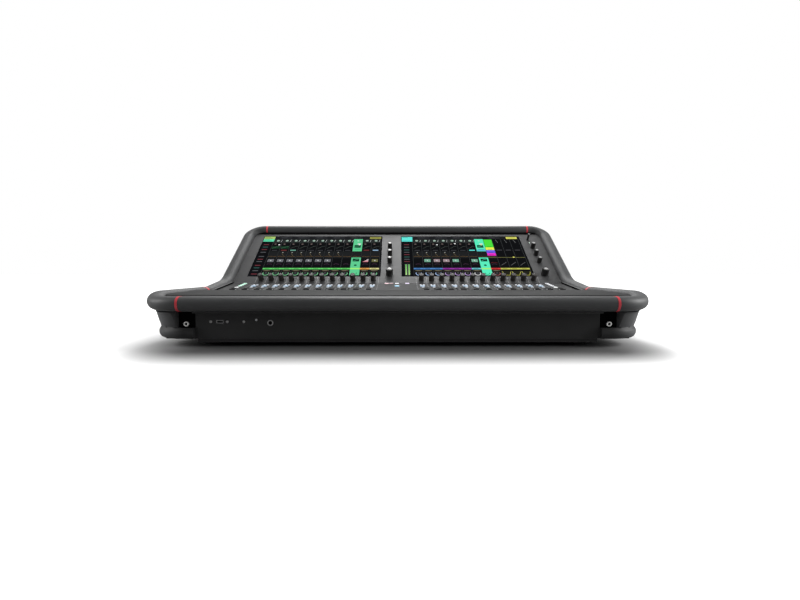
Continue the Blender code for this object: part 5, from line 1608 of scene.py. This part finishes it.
@dataclass(frozen=True)
class Keys:
    """Every key of the working surface, in four groups that move as one each."""

    upper: KeyKind = KeyKind(0.0048, 0.0048, 0.034)
    upper_offset: float = 0.0038
    select: KeyKind = KeyKind(0.0110, 0.0066, 0.051)
    mute: KeyKind = KeyKind(0.0060, 0.0046, 0.068)
    layer: KeyKind = KeyKind(0.0082, 0.0046, 0.010)
    layer_x: Point2 = (-0.388, 0.382)
    layer_pitch: float = 0.0125
    layer_count: int = 6
    layer_lit: int = 4
    centre: KeyKind = KeyKind(0.0100, 0.0066, 0.0095)
    centre_x: tuple[float, ...] = (-0.0270, -0.0155, -0.0008, 0.0256)

    def build(self, repeater: Repeater) -> None:
        """Make the four groups.

        Args:
            repeater: The tree that sets out the keys.
        """
        strips = LAYOUT.strips
        upper = [x + side * self.upper_offset for x in strips for side in (-1, 1)]
        select = [*strips, self.centre_x[2]]
        layer = [(x, self.layer.row + self.layer_pitch * i) for x in self.layer_x
                 for i in range(self.layer_count)]
        unlit = self.layer_count - self.layer_lit - 1
        dull = [linear(50, 54, 52)] + [linear(205, 208, 205)] * unlit
        glow = [*[linear(150, 215, 180)] * self.layer_lit, *dull,
                *[linear(162, 163, 166)] * self.layer_lit, *dull]
        for name, kind, slot, places, colours in (
                ("upper_keys", self.upper, Slot.WHITE_KEY, [(x, self.upper.row) for x in upper],
                 [linear(158, 164, 174) if x < 0 else linear(168, 170, 178) for x in upper]),
                ("select_keys", self.select, Slot.BLUE_KEY,
                 [(x, self.select.row) for x in select],
                 [linear(72, 134, 172)] * len(strips) + [linear(90, 190, 225)]),
                ("mute_keys", self.mute, Slot.WHITE_KEY, [(x, self.mute.row) for x in strips],
                 [linear(132, 136, 142)] * len(strips)),
                ("layer_keys", self.layer, Slot.WHITE_KEY, layer, glow)):
            repeater.spread(name + "_lit", kind.unit(), [kind.place(*spot) for spot in places],
                            LIT_KEY, slot, name, [name], colours)
        repeater.spread("centre_keys", self.centre.unit(),
                        [self.centre.place(x, self.centre.row) for x in self.centre_x], LIT_KEY,
                        Slot.WHITE_KEY, "layer_keys",
                        glow=[linear(225, 175, 180), linear(110, 20, 25), linear(210, 210, 212),
                              linear(205, 185, 220)])


@dataclass(frozen=True)
class Faders:
    """Fader caps, each on its own body, with the line across its dish."""

    rest: float = 0.184
    width: float = 0.0123
    length: float = 0.0183
    standoff: float = 0.0035
    height: float = 0.0133
    top_share: float = 0.74
    dish: float = 0.0028
    edge: float = 0.0007
    shoulder: Point2 = (0.985, 0.003)
    dish_steps: int = 12
    line_width: float = 0.0014
    line_depth: float = 0.001
    line_proud: float = 0.00015
    stem: Point2 = (0.0016, 0.005)
    stem_foot: float = 0.008
    stem_lap: float = 0.002

    def profile(self) -> list[Point2]:
        """Side of a cap in Y and Z, with the finger dish in its top."""
        low, high = self.standoff, self.standoff + self.height
        half, top = self.length / 2, self.length / 2 * self.top_share
        side, rise = half * self.shoulder[0], low + self.shoulder[1]
        turns = [pi * i / self.dish_steps for i in range(self.dish_steps + 1)]
        dish = [(top * cos(t), high - self.dish * sin(t)) for t in turns]
        return [(-half, low), (half, low), (side, rise), *dish, (-side, rise)]

    def cap(self) -> bmesh.types.BMesh:
        """One cap and its stem, with the origin on the plate under its middle."""
        side = self.profile()
        shape = loft([[(x, y, z) for y, z in side] for x in (-self.width / 2, self.width / 2)])
        ends = [edge for edge in shape.edges
                if abs(edge.verts[0].co.x - edge.verts[1].co.x) < 1e-9]
        bmesh.ops.bevel(shape, geom=ends, offset=self.edge, segments=2, profile=0.5,
                        affect="EDGES", clamp_overlap=True)
        half_x, half_y = (size / 2 for size in self.stem)
        stem = rounded_box((-half_x, -half_y, -self.stem_foot),
                           (half_x, half_y, self.standoff + self.stem_lap))
        return joined(shape, stem)

    def line(self) -> bmesh.types.BMesh:
        """The line across the bottom of the dish."""
        z = self.standoff + self.height - self.dish
        half = self.width / 2 - self.edge
        return rounded_box((-half, -self.line_width / 2, z - self.line_depth),
                           (half, self.line_width / 2, z + self.line_proud), 0.0001, 1)

    def build(self) -> None:
        """Make the twenty-four caps, from the left."""
        for number, x in enumerate(LAYOUT.strips, start=1):
            name, place = f"fader_cap_{number:02d}", LAYOUT.panel @ at(x, -self.rest)
            publish(f"fader_grip_{number:02d}", moved(self.cap(), place), BLACK_PLASTIC,
                    name, [name], 35.0)
            publish(f"fader_line_{number:02d}", moved(self.line(), place), PRINT_WHITE,
                    name)


@dataclass(frozen=True)
class KnobKind:
    """A turned knob: radius and height, and how its grip is cut."""

    radius: float
    height: float
    flutes: int
    bite: float
    cap: float
    standoff: float = 0.0008
    shaft: float = 0.0030

    def grip(self, sides: int) -> bmesh.types.BMesh:
        """Skirt, fluted body and rounded top."""
        r, h, low = self.radius, self.height, self.standoff
        profile = [(r * 0.97, low), (r, low + 0.0005), (r, low + 0.0026),
                   (r * 0.955, low + 0.0032), (r * 0.950, low + 0.0042), (r * 0.925, h - 0.0022),
                   (r * 0.915, h - 0.0009), (r * 0.86, h - 0.0001), (r * 0.80, h),
                   (r * 0.74, h - 0.0004)]
        return turned(profile, sides, self.flutes, self.bite, (4, 7))

    def crown(self) -> bmesh.types.BMesh:
        """Pale disc set into the top."""
        r, h = self.radius * self.cap, self.height
        return turned([(r, h - 0.0012), (r, h - 0.0002), (r * 0.94, h)], 40)

    def pin(self) -> bmesh.types.BMesh:
        """Shaft through the fascia."""
        return turned([(self.shaft, -0.006), (self.shaft, self.standoff + 0.0004)], 24)


@dataclass(frozen=True)
class Knobs:
    """Encoders: one above each strip, two columns beside the screens, and the small trim."""

    strip: KnobKind = KnobKind(0.0069, 0.0184, 12, 0.0006, 0.0)
    strip_row: float = 0.0135
    mark: tuple[Point3, Point3] = ((-0.0004, 0.0020, 0.0174), (0.0004, 0.0054, 0.01845))
    mark_edge: float = 0.0001
    large: KnobKind = KnobKind(0.0097, 0.0199, 30, 0.0005, 0.46)
    large_row: float = 0.037
    small: KnobKind = KnobKind(0.0066, 0.0176, 24, 0.0004, 0.56)
    small_row: float = 0.0935
    small_pitch: float = 0.0362
    small_count: int = 3
    trim: KnobKind = KnobKind(0.0033, 0.0209, 12, 0.0003, 0.70, 0.0008, 0.0018)
    trim_at: Point2 = (0.384, 0.208)
    columns: tuple[tuple[str, float, Finish], ...] = (
        ("centre", -0.0205, KNOB_WHITE), ("right", 0.389, PRINT_GREY))

    def build(self, repeater: Repeater) -> None:
        """Make all the knobs.

        Args:
            repeater: The tree that sets out the strip encoders.
        """
        places = [LAYOUT.screen @ at(x, self.strip_row) for x in LAYOUT.strips]
        repeater.spread("strip_encoder_grips", joined(self.strip.grip(48), self.strip.pin()),
                        places, KNOB_BLACK, Slot.BLACK_PLASTIC, replaces=["strip_encoders"])
        repeater.spread("strip_encoder_marks", rounded_box(*self.mark, self.mark_edge, 1), places,
                        PRINT_GREY, Slot.WHITE_KEY)
        for column, x, crown in self.columns:
            self.knob(column + "_encoder_1", self.large, (x, self.large_row), crown)
            for i in range(self.small_count):
                self.knob(f"{column}_encoder_{i + 2}", self.small,
                          (x, self.small_row + self.small_pitch * i), crown)
        self.knob("trim_knob", self.trim, self.trim_at, PRINT_GREY)

    def knob(self, body: str, kind: KnobKind, spot: Point2, crown: Finish) -> None:
        """One knob that turns on its own body."""
        place = LAYOUT.screen @ at(*spot)
        grip = joined(kind.grip(kind.flutes * 4), kind.pin())
        publish(body + "_grip", moved(grip, place), BLACK_PLASTIC, body, [body])
        publish(body + "_crown", moved(kind.crown(), place), crown, body)


@dataclass(frozen=True)
class Surface:
    """Fader plate and fascia with their printed marks, and the glass of the screens."""

    half: float = 0.4235
    line: float = 0.0005
    lift: float = 0.00012
    sunk: float = 0.0001
    plate_rows: Point2 = (0.003, 0.208)
    fascia_rows: Point2 = (0.001, 0.0255)
    slot_rows: Point2 = (0.084, 0.184)
    tick_x: float = 0.0046
    tick_gap: float = 0.0024
    tick: float = 0.0003
    tick_shares: Point2 = (0.7, 0.5)
    digit_size: float = 0.0022
    digit_at: Point2 = (-0.0094, -0.0008)
    wing_x: float = 0.4205
    wing_inset: float = 0.0145
    wing_rise: float = 0.0035
    wing_length: float = 0.128
    wing_end: float = 0.004
    wing_lift: float = 0.0004
    wing_band: float = 0.0075
    band_grow: Point3 = (0.0006, 0.0004, 0.0003)
    groove_rows: Point2 = (0.2392, 0.2520)
    groove_lift: float = 0.0010
    groove_inset: float = 0.001
    lamp: Point2 = (0.386, 0.193)
    scale: tuple[str, ...] = ("10", "5", "0", "5", "10", "20", "30", "50")

    def strip_lines(self, repeater: Repeater) -> None:
        """Rules between the channel strips, on both planes."""
        edges = sorted({round(x + side * LAYOUT.strip_pitch / 2, 6) for x in LAYOUT.strips
                        for side in (-1, 1)})
        for name, plane, (low, high), sign in (
                ("plate_rules", LAYOUT.panel, self.plate_rows, -1),
                ("fascia_rules", LAYOUT.screen, self.fascia_rows, 1)):
            ends = sorted((sign * low, sign * high))
            unit = rounded_box((-self.line / 2, ends[0], -self.sunk),
                               (self.line / 2, ends[1], self.lift))
            repeater.spread(name, unit, [plane @ at(x, 0.0) for x in edges], PRINT_GREY,
                            Slot.GREY_PANEL)

    def scales(self, repeater: Repeater) -> None:
        """Level scale beside each slot."""
        low, high = self.slot_rows
        unit = bmesh.new()
        for i, text in enumerate(self.scale):
            row = -(low + (high - low) * i / (len(self.scale) - 1))
            for side in (-1, 1):
                inner = side * self.tick_gap
                outer = inner + side * self.tick_x * self.tick_shares[i % 2]
                tick = rounded_box((min(inner, outer), row - self.tick / 2, -self.sunk),
                                   (max(inner, outer), row + self.tick / 2, self.lift))
                unit = joined(unit, tick)
            digits = lettering(text, self.digit_size)
            unit = joined(unit, moved(digits, at(self.digit_at[0], row + self.digit_at[1])))
        repeater.spread("fader_scales", unit, [LAYOUT.panel @ at(x, 0.0) for x in LAYOUT.strips],
                        PRINT_GREY, Slot.GREY_PANEL)

    def wings(self) -> None:
        """Raised strips beside the fader plate, from the side bands to the fold, each with a flat
        black wall along its inner edge as painted shade.
        """
        inner, outer = self.wing_x, LAYOUT.rim_x - self.wing_inset
        near, far = -self.wing_length, -self.wing_end
        lift, rise, grow = self.wing_lift, self.wing_rise, self.band_grow
        for name, finish, slot, low, high in (
                ("wing_bands", RED_BAND, Slot.SOFT_RIM,
                 (inner - grow[0], near - self.wing_band, lift),
                 (outer + grow[1], near, rise + grow[2])),
                ("side_wings", RIM_SKIN, Slot.SOFT_RIM, (inner, near, lift), (outer, far, rise)),
                # painted shade: a flat black wall along each wing's inner edge
                ("wing_walls", SHADE_BLACK, Slot.BLACK_PLASTIC, (inner - lift, near, lift / 2),
                 (inner, far, rise - lift))):
            pair = joined(*(mirrored(rounded_box(low, high), side) for side in (-1, 1)))
            publish(name, moved(pair, LAYOUT.panel), finish)

    def hood_shade_strip(self) -> None:
        """Painted shade: a black strip along the groove between the fascia and the hood rail."""
        low, high = self.groove_rows
        half = self.half - self.groove_inset
        strip = rounded_box((-half, low, -self.sunk), (half, high, self.groove_lift))
        publish("hood_joint", moved(strip, LAYOUT.screen), SHADE_BLACK)

    def build(self, nodes: dict[str, bpy.types.Object], repeater: Repeater) -> None:
        """Dress the plates and the glass, and print the rules and the scales.

        Args:
            nodes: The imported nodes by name.
            repeater: The tree that sets them out.
        """
        dress(nodes, {"fader_plate": FADER_PAINT, "screen_fascia": FASCIA_LIT_PAINT,
                      "left_screen": BEZEL, "right_screen": BEZEL})
        self.strip_lines(repeater)
        self.scales(repeater)
        self.wings()
        self.hood_shade_strip()
        lens = turned([(0.0012, -0.0005), (0.0012, 0.0004), (0.0007, 0.0008)], 16)
        repeater.spread("status_lamp", lens, [LAYOUT.screen @ at(*self.lamp)], LIT_KEY,
                        Slot.WHITE_KEY, glow=[linear(190, 245, 200)])


def lettering(text: str, size: float) -> bmesh.types.BMesh:
    """Digits as thin solid shapes, their lower left corner at the origin."""
    curve = bpy.data.curves.new("digits", "FONT")
    curve.body, curve.size, curve.extrude, curve.resolution_u = text, size, 0.0001, 2
    holder = linked("digits", curve)
    mesh = evaluated(holder)
    shape = bmesh.new()
    shape.from_mesh(mesh)
    bmesh.ops.remove_doubles(shape, verts=shape.verts, dist=1e-7)
    bpy.data.objects.remove(holder, do_unlink=True)
    bpy.data.meshes.remove(mesh)
    bpy.data.curves.remove(curve)
    return shape


# Front and rear ------------------------------------------------------------------------------
@dataclass(frozen=True)
class FrontPanel:
    """Black panel under the bumper with its sockets, lamp and screws."""

    usb: Point2 = (-0.3096, 0.0446)
    usb_size: Point2 = (0.0122, 0.0050)
    usb_gap: float = 0.0001
    usb_wall: float = 0.0006
    usb_depth: float = 0.012
    lamp: Point2 = (-0.2460, 0.0479)
    jack: Point2 = (-0.2217, 0.0427)
    screw: Point2 = (0.0024, 0.0009)
    screws: tuple[Point2, ...] = ((-0.3256, 0.0446), (-0.2969, 0.0446), (-0.2682, 0.0446))

    def build(self, nodes: dict[str, bpy.types.Object], repeater: Repeater) -> None:
        """Dress the panel and add what is set into it.

        Args:
            nodes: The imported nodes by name.
            repeater: The tree that sets out the screws.
        """
        dress(nodes, {"front_panel": BLACK_PAINT, "front_sockets": BLACK_PLASTIC})
        front = LAYOUT.front
        repeater.spread("front_screws", cross_screw(*self.screw),
                        [front @ at(*spot) for spot in self.screws], DARK_STEEL, Slot.BLACK_PANEL)
        half_x, half_y = (size / 2 - self.usb_gap for size in self.usb_size)
        in_x, in_y = half_x - self.usb_wall, half_y - self.usb_wall
        low, high = -self.usb_depth, self.usb_wall
        sides = [rounded_box((x0, y0, low), (x1, y1, high)) for x0, y0, x1, y1 in (
            (-half_x, -half_y, half_x, -in_y), (-half_x, in_y, half_x, half_y),
            (-half_x, -in_y, -in_x, in_y), (in_x, -in_y, half_x, in_y))]
        # painted shade: flat black fills the inside of the USB socket and the jack's bore
        shade_fill = rounded_box((-in_x, -in_y, low), (in_x, in_y, -0.0004))
        ring = turned([(0.0052, -0.0002), (0.0052, 0.0013), (0.0047, 0.0016), (0.0036, 0.0016),
                       (0.0034, 0.0012), (0.0034, -0.010)], 32)
        bore = turned([(0.0033, -0.010), (0.0033, 0.0004)], 24)
        for name, shape, spot, finish, slot in (
                ("usb_liner", joined(*sides), self.usb, DARK_STEEL, Slot.GALVANISED),
                ("usb_core", shade_fill, self.usb, SHADE_BLACK, Slot.BLACK_PLASTIC),
                ("jack_ring", ring, self.jack, DARK_STEEL, Slot.BLACK_PLASTIC),
                ("jack_core", bore, self.jack, SHADE_BLACK, Slot.BLACK_PLASTIC)):
            publish(name, moved(shape, front @ at(*spot)), finish)
        lens = turned([(0.0019, 0.0), (0.0019, 0.0014), (0.0012, 0.0019)], 20)
        repeater.spread("front_lamp", lens, [front @ at(*self.lamp)], LIT_KEY, Slot.BLACK_PLASTIC,
                        glow=[linear(24, 24, 24)])


@dataclass(frozen=True)
class RearPanel:
    """Rear cover with the audio, network and mains sockets and the switch."""

    audio_x: tuple[float, ...] = tuple(-0.352 + 0.036 * i for i in range(8))
    rows: Point2 = (0.050, 0.092)
    network_x: Point2 = (-0.020, 0.020)
    inlet: Point2 = (0.345, 0.036)
    pin: float = 0.0012
    pin_reach: float = 0.0038
    screw: Point2 = (0.0022, 0.0010)
    screw_corner: Point2 = (0.0098, 0.0122)
    cover_x: tuple[float, ...] = (-0.395, -0.2, 0.0, 0.2, 0.395)
    cover_z: tuple[float, ...] = (0.014, 0.234)
    flange: float = 0.002
    inlet_x: float = 0.0195
    contact_x: float = -0.0036
    contact_z: float = 0.002
    contact_pitch: float = 0.00103
    blades: tuple[Point2, ...] = ((-0.007, -0.0015), (0.0, 0.0025), (0.007, -0.0015))

    def spot(self, x: float, z: float) -> Matrix:
        """A place on the rear face, which local X crosses the other way."""
        return LAYOUT.rear @ at(-x, z)

    def build(self, nodes: dict[str, bpy.types.Object], repeater: Repeater) -> None:
        """Dress the nodes inside and behind, and add contacts, latches and screws.

        Args:
            nodes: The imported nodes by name.
            repeater: The tree that sets out what is added.
        """
        dress(nodes, {
            "rear_panel": BLACK_PAINT, "audio_board": BLACK_PLASTIC, "power_supply": GREY_CASE,
            "fader_modules": ZINC, "main_board": CIRCUIT, "left_foot": RUBBER,
            "right_foot": RUBBER, "power_switch": BLACK_PLASTIC,
        })
        trio = [(self.pin_reach * cos(t), self.pin_reach * sin(t))
                for t in (radians(90), radians(210), radians(330))]
        lower, upper = ([self.spot(x, z) for x in self.audio_x] for z in self.rows)
        pins, holes = ([place @ at(u, v) for place in places for u, v in trio]
                       for places in (lower, upper))
        insert = turned([(0.0066, -0.0141), (0.0066, -0.0022), (0.0062, -0.0018)], 32)
        ferrule = turned([(0.0017, -0.0019), (0.0017, -0.0014), (0.0009, -0.0014),
                          (0.0009, -0.0018)], 16)
        latch = rounded_box((-0.0032, 0.0088, 0.0016), (0.0032, 0.0132, 0.0031), 0.0005)
        pin = turned([(self.pin, -0.0141), (self.pin, -0.0035), (self.pin * 0.5, -0.0026)], 12)
        strip = rounded_box((-0.0002, 0.0, -0.011), (0.0002, 0.0006, -0.002))
        contacts = [self.spot(x + self.contact_x + self.contact_pitch * i,
                              self.rows[0] + self.contact_z)
                    for x in self.network_x for i in range(8)]
        blade = rounded_box((-0.001, -0.002, -0.0181), (0.001, 0.002, -0.004), 0.0004)
        blades = [self.spot(self.inlet[0] + u, self.inlet[1] + v) for u, v in self.blades]
        for name, unit, places, finish, slot in (
                ("plug_pins", pin, pins, CONTACT_GOLD, Slot.GALVANISED),
                ("socket_inserts", insert, upper, BLACK_PLASTIC, Slot.BLACK_PLASTIC),
                ("socket_contacts", ferrule, holes, CONTACT_GOLD, Slot.GALVANISED),
                ("socket_latches", latch, upper, DARK_STEEL, Slot.GALVANISED),
                ("rear_screws", cross_screw(*self.screw), self.screws(), DARK_STEEL,
                 Slot.BLACK_PANEL),
                ("network_contacts", strip, contacts, CONTACT_GOLD, Slot.GALVANISED),
                ("mains_blades", blade, blades, BOLT_STEEL, Slot.GALVANISED)):
            repeater.spread(name, unit, places, finish, slot)

    def screws(self) -> list[Matrix]:
        """Places of the screws of the sockets and of the cover."""
        corner_x, corner_z = self.screw_corner
        spots = [(x, z) for x in self.audio_x for z in self.rows]
        spots += [(x, self.rows[0]) for x in self.network_x]
        raised = at(0.0, 0.0, self.flange)
        fixings = [self.spot(x + side * corner_x, z - side * corner_z) @ raised
                   for x, z in spots for side in (-1, 1)]
        fixings += [self.spot(x, z) for x in self.cover_x for z in self.cover_z]
        return fixings + [self.spot(self.inlet[0] + side * self.inlet_x, self.inlet[1]) @ raised
                          for side in (-1, 1)]


# Studio --------------------------------------------------------------------------------------
@dataclass(frozen=True)
class SoftLight:
    """A rectangular soft light aimed at a point."""

    name: str
    place: Point3
    size: Point2
    power: float
    aim: Point3 = (0.0, 0.0, 0.1)
    colour: Colour = (1.0, 1.0, 1.0)

    def build(self) -> None:
        """Hang the light."""
        data = bpy.data.lights.new(self.name, "AREA")
        data.shape, data.size, data.size_y = "RECTANGLE", self.size[0], self.size[1]
        data.energy, data.color = self.power, self.colour
        lamp = linked(self.name, data)
        lamp.location = self.place
        aim = Vector(self.aim) - Vector(self.place)
        lamp.rotation_euler = aim.to_track_quat("-Z", "Y").to_euler()


@dataclass(frozen=True)
class Studio:
    """Camera, pale floor and soft light."""

    lens: float = 19.485
    camera_place: Point3 = (-0.0026, -1.0345, 0.1334)
    pitch: float = radians(86.12)
    shift: float = 0.0047
    sensor: float = 36.0
    clip: Point2 = (0.01, 50.0)
    ambient: float = 0.30
    backdrop: float = 1.0
    floor_tones: Point2 = (0.63, 0.67)
    floor_grain: float = 300.0
    floor_bounce: float = 0.30
    floor_fade: Point2 = (0.50, 0.95)
    floor_half: float = 12.0
    # where the floor's painted contact shadow lies, how far it reaches and how dark it gets
    shade_centre: Point2 = (0.009, 0.0)
    shade_half: Point2 = (0.339, 0.315)
    shade_reach: float = 0.125
    shade_least: float = 0.14
    shade_blend: float = 0.1
    shade_power: float = 1.7
    lights: tuple[SoftLight, ...] = (
        SoftLight("overhead", (0.0, 0.75, 1.60), (1.3, 1.3), 44.0),
        SoftLight("behind", (0.0, 1.70, 1.0), (2.6, 0.8), 8.5),
        SoftLight("left_side", (-1.9, -0.4, 0.75), (1.0, 1.0), 27.0),
        SoftLight("right_side", (1.9, -0.4, 0.75), (1.0, 1.0), 50.0),
    )

    def camera(self) -> None:
        """Place the camera."""
        data = bpy.data.cameras.new("camera")
        data.lens, data.sensor_width, data.shift_x = self.lens, self.sensor, self.shift
        data.clip_start, data.clip_end = self.clip
        camera = linked("camera", data)
        camera.location, camera.rotation_euler = self.camera_place, (self.pitch, 0.0, 0.0)
        bpy.context.scene.camera = camera

    def world(self) -> None:
        """White backdrop that lights the console only dimly."""
        world = bpy.data.worlds.new("studio")
        bpy.context.scene.world = world
        world.use_nodes = True
        graph = Graph(world.node_tree)
        path = graph.add("ShaderNodeLightPath")
        dim, bright = (graph.add("ShaderNodeBackground", Color=(1.0, 1.0, 1.0, 1.0),
                                 Strength=strength) for strength in (self.ambient, self.backdrop))
        mixed = graph.add("ShaderNodeMixShader", n0=path.outputs["Is Camera Ray"],
                          n1=dim.outputs[0], n2=bright.outputs[0])
        end = graph.add("ShaderNodeOutputWorld")
        graph.tree.links.new(mixed.outputs[0], end.inputs["Surface"])

    def painted_contact_shadow(self, graph: Graph, place: Socket) -> Socket:
        """Painted contact shadow: the share of the floor's colour kept near the foot of the
        console.
        """
        axes = graph.add("ShaderNodeSeparateXYZ", Vector=place)
        gaps = []
        for i in (0, 1):
            away = graph.math("SUBTRACT", axes.outputs[i], self.shade_centre[i])
            past = graph.math("SUBTRACT", graph.math("ABSOLUTE", away), self.shade_half[i])
            gaps.append(graph.math("MAXIMUM", past, 0.0))
        square = graph.math("ADD", *(graph.math("MULTIPLY", gap, gap) for gap in gaps))
        near = graph.span(graph.math("SQRT", square), 0.0, self.shade_reach, 0.0, 1.0)
        eased = graph.math("POWER", graph.math("SMOOTH_MIN", near, 1.0, self.shade_blend),
                           self.shade_power)
        return graph.math("MULTIPLY_ADD", eased, 1.0 - self.shade_least, self.shade_least)

    def floor(self) -> None:
        """Pale floor with a painted contact shadow near the console, which fades into the backdrop
        away from it.
        """
        made, graph = new_material("studio_floor")
        place = graph.add("ShaderNodeTexCoord").outputs["Object"]
        reach = graph.add("ShaderNodeVectorMath", {"operation": "LENGTH"},
                          n0=place).outputs["Value"]
        grain = graph.add("ShaderNodeTexNoise", Vector=place,
                          Scale=self.floor_grain).outputs["Fac"]
        pale = graph.mix(grain, *((tone, tone, tone, 1.0) for tone in self.floor_tones))
        seen = graph.add("ShaderNodeLightPath").outputs["Is Camera Ray"]
        # painted shadow: the floor's colour darkened around the console's foot
        shaded = graph.mix(self.painted_contact_shadow(graph, place), (0.0, 0.0, 0.0, 1.0), pale)
        colour = graph.mix(seen, (*[self.floor_bounce] * 3, 1.0), shaded)
        glow = graph.math("MULTIPLY", graph.span(reach, *self.floor_fade, 0.0, 1.0), seen)
        close_material(graph, Base_Color=colour, Roughness=0.8, Specular_IOR_Level=0.1,
                       Emission_Color=(1.0, 1.0, 1.0, 1.0), Emission_Strength=glow)
        shape = bmesh.new()
        bmesh.ops.create_grid(shape, x_segments=1, y_segments=1, size=self.floor_half)
        mesh = to_mesh(shape, "floor")
        mesh.materials.append(made)
        linked("floor", mesh)

    def build(self) -> None:
        """Set up the studio."""
        self.camera()
        self.world()
        self.floor()
        for light in self.lights:
            light.build()
        bpy.context.scene.view_settings.view_transform = "Standard"
        bpy.context.scene.view_settings.look = "None"


def main() -> None:
    """Load the frame and build every sub-assembly around it."""
    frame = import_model()
    nodes = frame["nodes"]
    Studio().build()
    repeater = Repeater()
    Rim().build(RimSweep())
    PalmRest().build()
    Cheeks().build()
    Surface().build(nodes, repeater)
    LEFT_PAGE.build(left_extras)
    RIGHT_PAGE.build(right_extras)
    Keys().build(repeater)
    Faders().build()
    Knobs().build(repeater)
    FrontPanel().build(nodes, repeater)
    Tray().build(nodes)
    RearPanel().build(nodes, repeater)


if __name__ == "__main__":
    logging.basicConfig(level=logging.INFO, format="%(name)s %(message)s")
    main()
